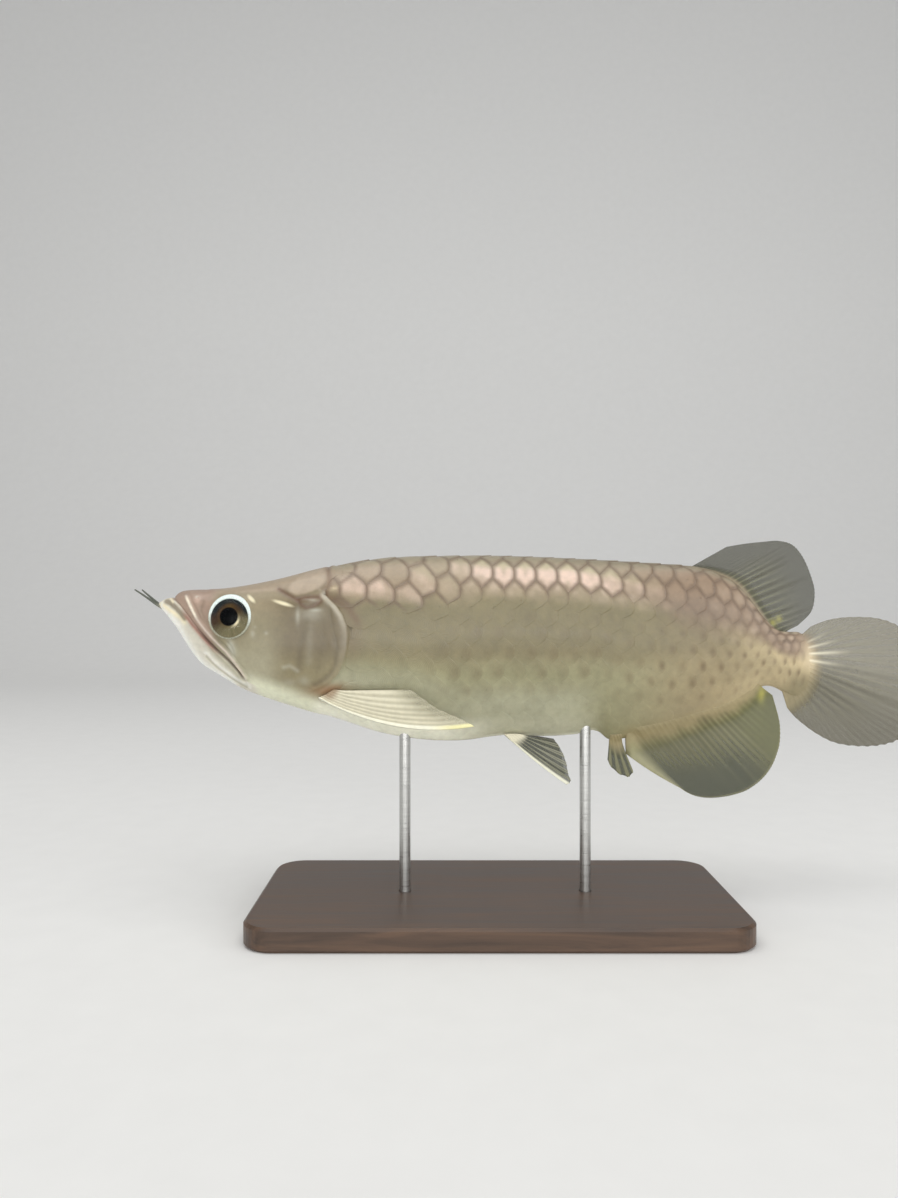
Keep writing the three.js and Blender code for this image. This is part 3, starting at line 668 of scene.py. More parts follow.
def on_flank(x, down, side):
    """Place and outward direction on the trunk, down millimetres round it from the ridge."""
    girth = np.interp(x, girth_x, half_girth)
    over_ridge = down < 0
    down = np.abs(down)
    under_keel = down > girth
    down = np.where(under_keel, 2 * girth - down, down)
    side = side * np.where(over_ridge ^ under_keel, -1.0, 1.0)
    angle = np.clip(angle_at(x, down / girth), -np.pi / 2 + 0.004, np.pi / 2 - 0.004)
    held = np.minimum(x, TAIL_BASE_X)
    here = body_point(held, angle)
    lengthwise = body_point(held + 0.4, angle) - body_point(held - 0.4, angle)
    around = body_point(held, angle + 0.003) - body_point(held, angle - 0.003)
    outward = np.cross(lengthwise, around)
    outward /= np.maximum(np.linalg.norm(outward, axis=-1, keepdims=True), 1e-9)
    outward *= np.where(outward[..., 1:2] < 0, -1.0, 1.0)
    here[..., 0] += x - held
    here[..., 1] *= side
    outward[..., 1] *= side
    return here, outward


column_x = np.linspace(-95, 142, 4000)
column_of_x = np.cumsum(1 / smooth_line(PITCH, column_x)) * (column_x[1] - column_x[0])
column_of_x -= np.interp(COLUMN_ZERO_X, column_x, column_of_x)


def row_step(x):
    """Distance between rows round the body: eight below the third row, seven towards the tail."""
    girth = np.interp(x, girth_x, half_girth)
    return (girth - smooth_line(THIRD_ROW, x)) / (8 - fade(55, 80, x))


def row_down(x, row):
    return smooth_line(THIRD_ROW, x) + (row - 3) * row_step(x)


def spread_rows(down):
    """Widens the rows on the shoulder of the back, where scales are largest, and packs the ridge."""
    return down + np.sign(down) * smooth_line(ROW_SHIFT, np.abs(down))


def rear_edge(q):
    """Rear edge of a plate, in pitches from its middle: a blunt end with two slanting sides."""
    return REAR_REACH - 0.095 * (np.logaddexp(0, (np.abs(q) - 0.36) / 0.1) - 0.027)


rng = np.random.default_rng(7)
grid = np.concatenate([[-1.0], np.linspace(-0.94, 0.94, PLATE_CELLS + 1), [1.0]])
p, q = np.meshgrid(grid, grid, indexing="ij")
rim = (np.arange(len(grid)) == 0) | (np.arange(len(grid)) == len(grid) - 1)
on_rim = rim[:, None] | rim[None, :]
front_edge = -0.12 - (FRONT_REACH - 0.12) * np.sqrt(1 - q * q)
along = front_edge + (rear_edge(q) - front_edge) * (p + 1) / 2
age = np.hypot((along + 0.25) / 0.78, q)


def net_of_edges(pitch):
    """Dark net: pigment in the strip beside a scale's own rear edge, and pigment with painted shade in
    the strips beside those of the scales ahead.
    """
    lean = np.where(np.abs(np.abs(q) - 0.75) < 0.35, 0.65, 1.0)
    dark = fade(NET_WIDTH, 0.0, (rear_edge(q) - along) * pitch * lean)
    for ahead, off in [(1.0, 0.0), (0.5, -1.0), (0.5, 1.0)]:
        level = np.abs(q - off / HALF_HEIGHT)
        lean = np.where(np.abs(level - 0.75) < 0.35, 0.65, 1.0)
        behind = (along + ahead - rear_edge(level)) * pitch * lean
        strip = fade(NET_WIDTH, 0.0, behind) * fade(-1.2, -0.2, behind)
        dark = np.maximum(dark, strip * (level < 1))
    return dark


def plate_patches(count):
    """Soft random patches over one plate, between -1 and 1."""
    coarse = rng.uniform(-1, 1, (count, count))
    places = np.linspace(0, count - 1, len(grid))
    half_fine = np.array([np.interp(places, np.arange(count), line) for line in coarse])
    return np.array([np.interp(places, np.arange(count), line) for line in half_fine.T]).T


def plate_colour(x, z, row, column, pitch, step):
    depth = depth_at(x + along * pitch, z)
    shade = coat_colour(x + along * pitch, z)
    patchy = plate_patches(7)
    glow = MIRRORING.get((row, column), 0.0)
    lit = fade(-0.5, -0.02, q) * (1 - 0.5 * fade(0.1, 0.8, q))
    if row == 4:
        lit = fade(-0.9, -0.5, q) * fade(0.55, -0.25, q)
    lit = lit * fade(-0.62, -0.3, along)
    # Mirroring plates get a painted highlight: pale tan at the top and pearly pink below.
    shade = blend(shade, HIGHLIGHT_TAN, 0.7 * glow * fade(0.1, -0.4, q) * (row < 4))
    shade = blend(shade, PEARL_HIGHLIGHT, np.clip(glow * lit * (1.0 + 0.6 * patchy), 0, 1))
    # The top tips of row 3 below the mirroring plates are painted paler, as the low end of the same
    # painted highlight.
    tip = fade(-0.95, -0.6, q) * fade(0.5, -0.7, q) * (row == 3) * fade(-26, -12, x) * fade(84, 50, x)
    tip = tip * (0.3 + 0.7 * bump_at((along + 0.05) / 0.3, 1.0))
    shade = blend(shade, TIP_TAN, np.clip(rng.uniform(0.4, 0.8) * tip * (1 + 0.7 * patchy), 0, 1))
    stalk = fade(88, 106, x) * fade(0.55, 0.35, depth) * spot_at(along, q, 0.05, 0, 0.35, 0.5)
    shade = blend(shade, TIP_TAN, np.clip(rng.uniform(0.1, 0.45) * stalk * (1 + 0.6 * patchy), 0, 1))
    shade = shade * (1 + rng.uniform(-0.03, 0.03) + 0.03 * patchy)[..., None]
    deep = 0.07 * fade(-14, -30, x) + 0.02 * rng.uniform(-1, 1)
    in_back = fade(0.25 + deep, 0.185 + deep, depth)
    rear = fade(60, 95, x) * fade(0.46, 0.3, depth)
    net = (0.66 + 0.1 * glow) * in_back + 0.42 * rear * (1 - in_back)
    net = net * (1 - 0.7 * fade(132, 139, x)) * (1 + 0.15 * patchy)
    # The net is pigment, darkened further by painted shade beside the edges of the scales ahead.
    shade = blend(shade, NET_BROWN, net * net_of_edges(pitch))
    size = np.clip(pitch / 9, 0.6, 1)
    front = fade(66, 44, x)
    wide = (1.6 + 1.1 * front) * size
    high = (2.3 + 0.8 * front) * size
    spot = spot_at(along * pitch, q * HALF_HEIGHT * step, 0.3 * pitch, 0.5, wide, high)
    strong = (0.34 + 0.26 * fade(50, 80, x)) * fade(-44, -18, x)
    strong = strong * (0.55 + 0.4 * bump_at((depth - 0.6) / 0.14, 1.0)) * rng.uniform(0.5, 1.3)
    low_end = 0.13 * fade(30, 80, x)
    mid = fade(0.27, 0.36, depth) * fade(0.8 + low_end, 0.67 + low_end, depth)
    return blend(shade, SPOT_BROWN, strong * spot * mid)


def scale_set(name, side, first_row, last_row):
    points, colours, faces, uvs, ages = [], [], [], [], []
    width = len(grid)
    i, j = np.meshgrid(np.arange(width - 1), np.arange(width - 1), indexing="ij")
    corner = (i * width + j).ravel()
    plate_faces = np.stack([corner, corner + width, corner + width + 1, corner + 1], axis=-1)
    if side > 0:
        plate_faces = plate_faces[:, ::-1]
    for row in range(first_row, last_row + 1):
        for column in np.arange(FIRST_COLUMN, LAST_COLUMN + 1) + (0.5 if row % 2 else 0.0):
            x = np.interp(column, column_of_x, column_x)
            pitch = smooth_line(PITCH, x)
            down = row_down(x, row)
            step = row_step(x)
            girth = np.interp(x, girth_x, half_girth)
            on_middle = min(abs(down), abs(down - girth)) < 0.3 * step
            past_edge = down < -0.3 * step or down > girth + 0.3 * step
            if past_edge or (on_middle and side > 0) or x > TAIL_BASE_X - 3:
                continue
            shift = 0.0
            if on_middle:
                shift = -down if abs(down) < 0.3 * step else girth - down
            middle, _ = on_flank(np.array(x), spread_rows(np.array(down + shift)), side)
            room = 0.45 * pitch + (2.4 if middle[2] < 141 else 0.0)
            if behind_gill(middle[0], middle[2]) < room:
                continue
            plate_x = x + along * pitch
            plate_down = row_down(plate_x, row) + shift + q * HALF_HEIGHT * step
            here, outward = on_flank(plate_x, spread_rows(plate_down), side)
            by_gill = fade(14, 7, behind_gill(middle[0], middle[2])) * fade(145, 141, middle[2])
            flat = np.maximum(fade(0.16, 0.36, depth_at(x, middle[2])), by_gill)
            rise = REAR_RISE - 0.33 * flat
            sunk = FRONT_SUNK - 0.19 * flat
            lift = -sunk + (rise + sunk) * (along + FRONT_REACH) / (FRONT_REACH + REAR_REACH)
            lift += PLATE_DOME * (1 - 0.75 * flat) * (1 - p * p) * (1 - q * q)
            lift -= np.where(on_rim, RIM_DROP - 0.2 * flat, 0.0)
            lift = lift * np.clip(pitch / 9, 0.6, 1) - SCALE_DEPTH
            lift = lift * fade(TAIL_BASE_X, 134, plate_x)
            points.append((here + outward * lift[..., None]).reshape(-1, 3))
            tint = plate_colour(x, here[..., 2], row, column, pitch, step)
            colours.append(tint.reshape(-1, 3))
            ages.append((age + rng.uniform(0, 0.1)).ravel())
            faces.append(plate_faces + width * width * (len(points) - 1))
            cell = 0.5 + 0.46 * (np.arange(width) / (width - 1) * 2 - 1)
            map_u = (column - FIRST_COLUMN + cell) / (LAST_COLUMN - FIRST_COLUMN + 1.6)
            map_v = (row - first_row + cell) / (last_row - first_row + 1)
            uvs.append(np.stack(np.meshgrid(map_u, map_v, indexing="ij"), axis=-1).reshape(-1, 2))
    piece = make_piece(name, np.concatenate(points), np.concatenate(faces).tolist())
    layer = piece.data.uv_layers.new(name="OFBake")
    loops = np.zeros(len(piece.data.loops), int)
    piece.data.loops.foreach_get("vertex_index", loops)
    layer.data.foreach_set("uv", np.concatenate(uvs)[loops].ravel())
    colour_points(piece, "scale_tint", np.concatenate(colours))
    growth = piece.data.attributes.new("growth", "FLOAT", "POINT")
    growth.data.foreach_set("value", np.concatenate(ages))
    return piece


pearly_scale, nodes, links, bump = moist_hide("pearly_scale", "scale_tint", 0.34, 900.0, 0.00006)
growth = add_node(nodes, "ShaderNodeAttribute", attribute_name="growth")
turns = add_node(nodes, "ShaderNodeMath", operation="MULTIPLY")
turns.inputs[1].default_value = 75.0
links.new(growth.outputs["Fac"], turns.inputs[0])
rings = add_node(nodes, "ShaderNodeMath", operation="SINE")
links.new(turns.outputs["Value"], rings.inputs[0])
growth_lines = add_node(nodes, "ShaderNodeBump", Strength=0.25, Distance=0.00005)
links.new(rings.outputs["Value"], growth_lines.inputs["Height"])
links.new(growth_lines.outputs["Normal"], bump.inputs["Normal"])
for side_name, side in [("left", -1), ("right", 1)]:
    for part, first_row, last_row in [("back", -3, 3), ("flank", 4, 7), ("belly", 8, 11)]:
        scale_piece = scale_set(f"scales_{side_name}_{part}", side, first_row, last_row)
        scale_piece.data.materials.append(pearly_scale)


# Eyes. Large, round and set level with the cheek: a pale bluish rim, a brown iris with a gold glint
# round the black pupil, and a clear bulging cornea over both. They fill the sockets in the head.
RIM_OUTER = 9.75
IRIS_OFFSET = (-0.2, -0.65)
IRIS_RADIUS = 8.4
PUPIL_OFFSET = (-0.65, 0.0)
PUPIL_RADIUS = 4.05
EYE_STEPS = 180
RIM_BUILD = [
    (0.0, -1.2), (0.05, -0.2), (0.15, 0.22), (0.35, 0.5), (0.6, 0.55), (0.82, 0.38), (0.95, 0.1),
    (1.0, -0.4),
]
IRIS_RINGS = 26
PUPIL_SHARES = [0.99, 0.8, 0.55, 0.3, 0.02]
PUPIL_BULGE = 1.1
CORNEA_BUILD = [
    (8.5, 0.1), (8.2, 0.45), (7.3, 0.95), (6, 1.4), (4.3, 1.75), (2.3, 1.95), (0.1, 2),
]
PUPIL_BLACK = paint(3, 4, 5)
RIM_WHITE = paint(228, 240, 236)
RIM_GREY = paint(158, 158, 138)
IRIS_BROWN = paint(60, 45, 34)
IRIS_GOLD_BROWN = paint(98, 76, 36)
IRIS_OLIVE = paint(112, 106, 80)
IRIS_TEAL = paint(26, 36, 38)
GLINT_GOLD = paint(236, 226, 190)


def cheek_half(x, z):
    top, bottom = smooth_line(BACK, x), smooth_line(BELLY, x)
    level = bottom + smooth_line(WIDEST_LEVEL, x) * (top - bottom)
    lift = np.clip((z - level) / (top - level), 0, 1)
    drop = np.clip((level - z) / (level - bottom), 0, 1)
    above = np.sqrt(1 - lift ** smooth_line(BACK_POWER, x))
    below = (1 - drop * drop) ** smooth_line(KEEL_POWER, x)
    return smooth_line(HALF_WIDTH, x) * np.where(z >= level, above, below)


EYE_MIDDLE = cheek_half(EYE_X, EYE_Z)
LEAN_OVER = 7
lean_ahead = cheek_half(EYE_X + LEAN_OVER, EYE_Z) - cheek_half(EYE_X - LEAN_OVER, EYE_Z)
lean_above = cheek_half(EYE_X, EYE_Z + LEAN_OVER) - cheek_half(EYE_X, EYE_Z - LEAN_OVER)
EYE_LEAN_X = lean_ahead / (2 * LEAN_OVER)
EYE_LEAN_Z = lean_above / (2 * LEAN_OVER)
around_eye = np.linspace(0, 2 * np.pi, EYE_STEPS, endpoint=False)
off_centre = np.hypot(IRIS_OFFSET[0], IRIS_OFFSET[1])
toward = np.cos(around_eye - math.atan2(IRIS_OFFSET[1], IRIS_OFFSET[0]))
beside = off_centre * (1 - toward ** 2) ** 0.5
iris_edge = off_centre * toward + np.sqrt(IRIS_RADIUS ** 2 - beside ** 2)


def eye_points(side, centre, radius, height):
    """Ring of the eye at a radius round a centre, standing out from the cheek by a height."""
    x = EYE_X + centre[0] + radius * np.cos(around_eye)
    z = EYE_Z + centre[1] + radius * np.sin(around_eye)
    y = EYE_MIDDLE + EYE_LEAN_X * (x - EYE_X) + EYE_LEAN_Z * (z - EYE_Z) + height
    return np.stack([x, side * y, z], axis=-1)


def eye_faces(rings, side, capped=False):
    quads = ring_faces(rings, EYE_STEPS, 0)
    cap = list(range((rings - 1) * EYE_STEPS, rings * EYE_STEPS))
    if side < 0:
        quads, cap = quads[:, ::-1], cap[::-1]
    return quads.tolist() + ([cap] if capped else [])


def iris_colour(x, z, streak):
    away = np.hypot(x - PUPIL_OFFSET[0], z - PUPIL_OFFSET[1])
    c = blend(np.broadcast_to(IRIS_BROWN, (*x.shape, 3)), IRIS_OLIVE, fade(-2.0, 6.5, 0.55 * x - z))
    c = blend(c, IRIS_GOLD_BROWN, 0.45 * bump_at(np.hypot(x, z - 5.0) / 2.2, 1.0))
    c = blend(c, IRIS_TEAL, 0.95 * fade(5.4, 7.4, np.hypot(x, z + 0.6)) * fade(-1.5, 3, z))
    c = c * (1 + 0.22 * streak)[..., None]
    turn = np.arctan2(z - PUPIL_OFFSET[1], x - PUPIL_OFFSET[0])
    glint = bump_at((away - 4.6) / 0.6, 1.0)
    c = blend(c, GLINT_GOLD, 0.95 * glint * bump_at((turn + 0.62) / 0.5, 1.0))
    return blend(c, IRIS_GOLD_BROWN, 0.2 * glint * (1 - bump_at((turn + 0.62) / 0.5, 1.0)))


wet_eye, nodes, links, shader = start_material("wet_eye_rim")
tint = add_node(nodes, "ShaderNodeAttribute", attribute_name="eye_tint")
place = add_node(nodes, "ShaderNodeTexCoord")
speck = add_node(nodes, "ShaderNodeTexNoise", Scale=1800.0, Detail=4.0)
links.new(place.outputs["Object"], speck.inputs["Vector"])
mixed = add_node(nodes, "ShaderNodeVectorMath", operation="SCALE")
links.new(tint.outputs["Color"], mixed.inputs[0])
links.new(spread(nodes, links, speck.outputs["Fac"], 0.86, 1.12), mixed.inputs["Scale"])
links.new(mixed.outputs["Vector"], shader.inputs["Base Color"])
links.new(spread(nodes, links, speck.outputs["Fac"], 0.2, 0.34), shader.inputs["Roughness"])
fine = add_node(nodes, "ShaderNodeBump", Strength=0.2, Distance=0.00005)
links.new(speck.outputs["Fac"], fine.inputs["Height"])
links.new(fine.outputs["Normal"], shader.inputs["Normal"])
shader.inputs["Coat Weight"].default_value = 0.4
shader.inputs["Coat Roughness"].default_value = 0.08
deep_iris = wet_eye.copy()
deep_iris.name = "iris_and_pupil"
shader = deep_iris.node_tree.nodes["Principled BSDF"]
shader.inputs["Specular IOR Level"].default_value = 0.04
shader.inputs["Coat Weight"].default_value = 0.0
clear, nodes, links, shader = start_material("clear_cornea")
gloss = add_node(nodes, "ShaderNodeBsdfGlossy", Roughness=0.04)
gloss.inputs["Color"].default_value = (1, 1, 1, 1)
see_through = add_node(nodes, "ShaderNodeBsdfTransparent")
mirror = add_node(nodes, "ShaderNodeFresnel", IOR=1.16)
film = add_node(nodes, "ShaderNodeMixShader")
links.new(mirror.outputs["Fac"], film.inputs["Fac"])
links.new(see_through.outputs["BSDF"], film.inputs[1])
links.new(gloss.outputs["BSDF"], film.inputs[2])
links.new(film.outputs["Shader"], nodes["Material Output"].inputs["Surface"])
nodes.remove(shader)

for side_name, side in [("left", -1), ("right", 1)]:
    rings, tints = [], []
    turn = np.cos(around_eye - 1.5)
    # The pale rim is painted whiter on its upper side as a highlight, greyer below.
    rim_tint = blend(np.broadcast_to(RIM_GREY, (EYE_STEPS, 3)), RIM_WHITE, fade(-0.55, 0.45, turn))
    for share, height in RIM_BUILD:
        radius = RIM_OUTER + (iris_edge - RIM_OUTER) * share
        rings.append(eye_points(side, (0, 0), radius, height))
        tints.append(rim_tint)
    ring_piece = make_piece(f"eye_rim_{side_name}", np.concatenate(rings), eye_faces(len(rings), side))
    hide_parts(f"eye_{side_name}")
    colour_points(ring_piece, "eye_tint", np.concatenate(tints))
    fibres = np.random.default_rng(11).uniform(-1, 1, (2, EYE_STEPS))
    fibres = (fibres + np.roll(fibres, 1, axis=1)) / 2
    rings, tints = [], []
    for share in np.linspace(0, 1, IRIS_RINGS):
        centre = [iris + (pupil - iris) * share for iris, pupil in zip(IRIS_OFFSET, PUPIL_OFFSET)]
        radius = IRIS_RADIUS + 0.15 + (PUPIL_RADIUS - IRIS_RADIUS - 0.15) * share
        height = -0.25 - 0.75 * share + 0.05 * fibres[0] * math.sin(math.pi * share)
        ring = eye_points(side, centre, radius, height)
        rings.append(ring)
        streak = fibres[0] * (1 - share) + fibres[1] * share
        tints.append(iris_colour(ring[:, 0] - EYE_X, ring[:, 2] - EYE_Z, streak))
    for share in PUPIL_SHARES:
        height = -1.05 + PUPIL_BULGE * math.sqrt(1 - share ** 2)
        rings.append(eye_points(side, PUPIL_OFFSET, PUPIL_RADIUS * share, height))
        tints.append(np.broadcast_to(PUPIL_BLACK, (EYE_STEPS, 3)))
    quads = eye_faces(len(rings), side, True)
    iris_piece = make_piece(f"eye_iris_{side_name}", np.concatenate(rings), quads)
    colour_points(iris_piece, "eye_tint", np.concatenate(tints))
    rings = [eye_points(side, IRIS_OFFSET, radius, height) for radius, height in CORNEA_BUILD]
    quads = eye_faces(len(rings), side, True)
    cornea = make_piece(f"eye_cornea_{side_name}", np.concatenate(rings), quads)
    for eye_piece, finish in [(ring_piece, wet_eye), (iris_piece, deep_iris), (cornea, clear)]:
        eye_piece.data.materials.append(finish)


# Barbels. Two thin, soft feelers that grow from the tip of the chin and point up and forwards. Each
# is skin over gristle, faintly ringed, thick at the root and fine at the tip.
BARBEL_PATH = [
    (-149.2, 0.9, 137.0), (-151.4, 1.6, 138.4), (-154.8, 2.6, 141), (-158, 3.7, 143.4),
    (-160.4, 4.9, 145.2),
]
BARBEL_ROOT = 0.74
BARBEL_TIP = 0.28
BARBEL_RINGS = 90
BARBEL_SIDES = 16
BARBEL_DARK = paint(84, 88, 78)
BARBEL_PALE = paint(150, 146, 130)


def smooth_path(points, count):
    points = np.array(points, float)
    last = len(points) - 1
    u = np.linspace(0, last, count)
    i = np.clip(u.astype(int), 0, last - 1)
    f = (u - i)[:, None]
    a, b = points[i], points[i + 1]
    start = (b - points[np.maximum(i - 1, 0)]) / 2
    end = (points[np.minimum(i + 2, last)] - a) / 2
    rise = f * f * (3 - 2 * f)
    return a * (1 - rise) + b * rise + f * (1 - f) ** 2 * start - f * f * (1 - f) * end


feeler_skin, _, _, _ = moist_hide("soft_feeler_skin", "feeler_tint", 0.4, 3000.0, 0.00005)
for side_name, side in [("left", -1), ("right", 1)]:
    path = smooth_path([(x, side * y, z) for x, y, z in BARBEL_PATH], BARBEL_RINGS)
    ahead = np.gradient(path, axis=0)
    ahead /= np.linalg.norm(ahead, axis=1, keepdims=True)
    right = np.cross([0, 1, 0], ahead)
    right /= np.linalg.norm(right, axis=1, keepdims=True)
    upward = np.cross(ahead, right)
    share = np.linspace(0, 1, BARBEL_RINGS)
    radius = BARBEL_ROOT + (BARBEL_TIP - BARBEL_ROOT) * share
    radius *= (1 + 0.05 * np.sin(share * 150)) * np.sqrt(np.clip((1.0 - share) / 0.02, 0.05, 1))
    turn = np.linspace(0, 2 * np.pi, BARBEL_SIDES, endpoint=False)
    tube = path[:, None] + radius[:, None, None] * (
        right[:, None] * np.cos(turn)[None, :, None] + upward[:, None] * np.sin(turn)[None, :, None]
    )
    tube = tube.reshape(-1, 3)
    quads = ring_faces(BARBEL_RINGS, BARBEL_SIDES, 0).tolist()
    quads += [tuple(range(BARBEL_SIDES))[::-1], tuple(range(len(tube) - BARBEL_SIDES, len(tube)))]
    barbel = make_piece(f"barbel_{side_name}_feeler", tube, quads)
    darker = np.repeat(fade(0.05, 0.35, share), BARBEL_SIDES)
    tint = blend(np.broadcast_to(BARBEL_PALE, (len(tube), 3)), BARBEL_DARK, darker)
    colour_points(barbel, "feeler_tint", tint)
    barbel.data.materials.append(feeler_skin)
    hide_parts(f"barbel_{side_name}")


# Unpaired fins. Thin sheets of clear skin stretched over jointed, branching bony rays: the dorsal
# fin on the back, the long anal fin with its small lobe by the vent, and the round tail fin. The rays
# are rooted in the body under a sheath of small scales and fade into the clear edge.
SHEET_HALF = 0.1
EDGE_HALF = 0.03


def fin_rays(s, t, rays, split, wide):
    """Height of the rays on a fin, 0 to 1: each ray splits in two on its way to the edge."""
    place = np.abs((t * rays) % 1 - 0.5)
    gap = np.abs(place - split * 0.25 * fade(0.3, 0.85, s))
    return bump_at(gap, wide - 0.06 * s * split)


def fin_sheet(name, node, base, edge, rays, tint_fin, across=(0, 1, 0), bow=(0, 0, 0), fine=10,
              rows=80, split=1.0, wide=0.17, notch=0.006, root_half=1.2, root_long=3.0,
              front_root=1.0, ray_height=0.09, first_ray=0.0):
    """Closed thin sheet between a root line and an edge line, ridged on both faces by its rays."""
    columns = rays * fine + 1
    s, t = np.meshgrid(np.linspace(0, 1, rows), np.linspace(0, 1, columns), indexing="ij")
    ridge = fin_rays(s, t, rays, split, wide)
    lead = first_ray * fade(1.1, 0.5, t * rays)
    ridge = np.maximum(ridge, lead)
    root, tip = smooth_path(base, columns), smooth_path(edge, columns)
    reach = s * (0.985 - notch * (1 - np.maximum(ridge[-1], lead[-1] > 0.5)))
    middle = root + (tip - root) * reach[..., None]
    middle = middle + np.array(bow) * (4 * s * (1 - s) * (1 - t))[..., None]
    length = np.linalg.norm(tip - root, axis=-1) * s
    ray_half = (ray_height * (1 - split * fade(0.3, 0.7, s)) + 0.25 * lead) * ridge * (1 - 0.75 * s)
    root_share = front_root + (1 - front_root) * fade(0, 0.12, t)
    half = SHEET_HALF + root_half * root_share * bump_at(length, root_long) + ray_half
    half = half * fade(-0.02, 0.05, 1 - s) + EDGE_HALF
    sheet = [middle + np.array(across) * half[..., None], middle - np.array(across) * half[..., None]]
    count = rows * columns
    index = np.arange(count).reshape(rows, columns)
    a, b, c, d = index[:-1, :-1], index[1:, :-1], index[1:, 1:], index[:-1, 1:]
    front = np.stack([a, b, c, d], axis=-1).reshape(-1, 4)
    around = [index[0], index[1:, -1], index[-1, -2::-1], index[-2::-1, 0]]
    around = np.concatenate(around)
    border = np.stack([around[:-1], around[1:], around[1:] + count, around[:-1] + count], axis=-1)
    polygons = np.concatenate([front, front[:, ::-1] + count, border])
    facing = np.cross(middle[1:, :-1] - middle[:-1, :-1], middle[:-1, 1:] - middle[:-1, :-1])
    if (facing @ np.array(across)).sum() < 0:
        polygons = polygons[:, ::-1]
    piece = make_piece(name, np.concatenate([m.reshape(-1, 3) for m in sheet]), polygons.tolist())
    tint, alpha = tint_fin(s, t, ridge, middle[..., 0], middle[..., 2])
    tint = np.concatenate([tint.reshape(-1, 3)] * 2)
    colour_points(piece, "fin_tint", tint, np.concatenate([np.clip(alpha, 0, 1).ravel()] * 2))
    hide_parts(node)
    return piece


def inside_body(profile, from_x, to_x, sink, count):
    """Line along the back or the belly, sunk square to it into the flesh."""
    x = np.linspace(from_x, to_x, count + 1)
    slope = (smooth_line(profile, x + 0.5) - smooth_line(profile, x - 0.5)) * np.sign(sink)
    length = np.hypot(1, slope)
    z = smooth_line(profile, x) + sink / length
    return np.stack([x - abs(sink) * slope / length, 0 * x, z], axis=-1)


def clear_fin(name, rough):
    """Clear fin skin over rays: see-through by the painted amount, wet, with faint fibres."""
    material, nodes, links, _ = moist_hide(name, "fin_tint", rough, 1600.0, 0.00006)
    shader = nodes["Principled BSDF"]
    tint = [n for n in nodes if n.type == "ATTRIBUTE"][0]
    links.new(tint.outputs["Alpha"], shader.inputs["Alpha"])
    shader.inputs["Subsurface Weight"].default_value = 0.0
    return material


DORSAL_RAYS = 22
ANAL_RAYS = 26
TAIL_RAYS = 22
TAIL_GLEAMS = [(3.5, 151), (5.5, 156), (7.5, 162), (9.5, 158)]
DORSAL_YELLOW = [(124.9, 130.4), (127.6, 132)]
ANAL_YELLOW = (119.6, 98)
DORSAL_EDGE = [
    (104.4, 0, 164.6), (112.5, 0, 166), (120.6, 0, 166.9), (127.8, 0, 167.4), (134.2, 0, 165.6),
    (138.8, 0, 160.3), (142.2, 0, 152.6), (144.2, 0, 144.3), (142.6, 0, 135.6), (136.4, 0, 129.2),
]
ANAL_EDGE = [
    (83.5, 0, 55.8), (86.6, 0, 53.6), (90, 0, 52), (94, 0, 51.1), (98, 0, 50.9), (102, 0, 51.2),
    (105.8, 0, 51.8), (109.6, 0, 52.8), (113.4, 0, 54.2), (117.2, 0, 56.6), (120.6, 0, 59.5),
    (123.4, 0, 62.9), (125.6, 0, 66.7), (127.2, 0, 71), (128.3, 0, 75.3), (128.6, 0, 81),
    (127.9, 0, 87), (124.9, 0, 97.5),
]
ANAL_FRONT = (58.8, 0, 71.4)
LOBE_EDGE = [
    (50.5, 0, 68.2), (52.6, 0, 64.6), (55.6, 0, 62.1), (58.8, 0, 60.6), (61.2, 0, 61),
    (62.2, 0, 63.2), (60.6, 0, 66.8), (58.2, 0, 70.6),
]
TAIL_EDGE = [
    (142.2, 0, 128.8), (150.3, 0, 131.8), (159.8, 0, 133.1), (172.4, 0, 132.6), (182.3, 0, 129.1),
    (191.3, 0, 122.4), (197, 0, 113.6), (199, 0, 103.6), (198, 0, 94.2), (193.5, 0, 85.6),
    (185.9, 0, 79), (177, 0, 75.2), (166, 0, 74.1), (153.9, 0, 75.6), (144.4, 0, 80.2),
    (135.8, 0, 86.8), (131.4, 0, 91.8),
]
TAIL_ROOT = [
    (134.4, 0, 121.6), (134.8, 0, 119), (134.8, 0, 116.2), (134.4, 0, 113), (133.4, 0, 109.4),
    (131.4, 0, 105.4), (128.4, 0, 102),
]
FIN_GREY = paint(76, 75, 60)
FIN_RAY = paint(136, 135, 102)
FIN_STREAK = paint(76, 72, 46)
FIN_OLIVE = paint(92, 90, 53)
FIN_DEEP = paint(61, 64, 38)
FIN_GREEN = paint(104, 105, 62)
FIN_BRIGHT = paint(172, 168, 128)
FIN_YELLOW = paint(168, 162, 84)
SHEATH = paint(146, 132, 108)
ANAL_BASE = paint(146, 134, 98)
TAIL_PALE = paint(134, 129, 112)
TAIL_DARK = paint(90, 84, 60)
TAIL_BRIGHT = paint(244, 236, 210)


def between_rays(s, t, rays, seed, wide=0.26):
    """Dark streaks in the skin between the rays, each with a strength and a length of its own."""
    off = (t * rays + 0.5) % 1 - 0.5
    gap = np.rint(t * rays).astype(int)
    rng = np.random.default_rng(seed)
    strength = rng.uniform(0.3, 1.0, rays + 1)[gap]
    length = rng.uniform(0.75, 1.25, rays + 1)[gap]
    return bump_at(off, wide) * strength * fade(1.0, 0.35, s / length)


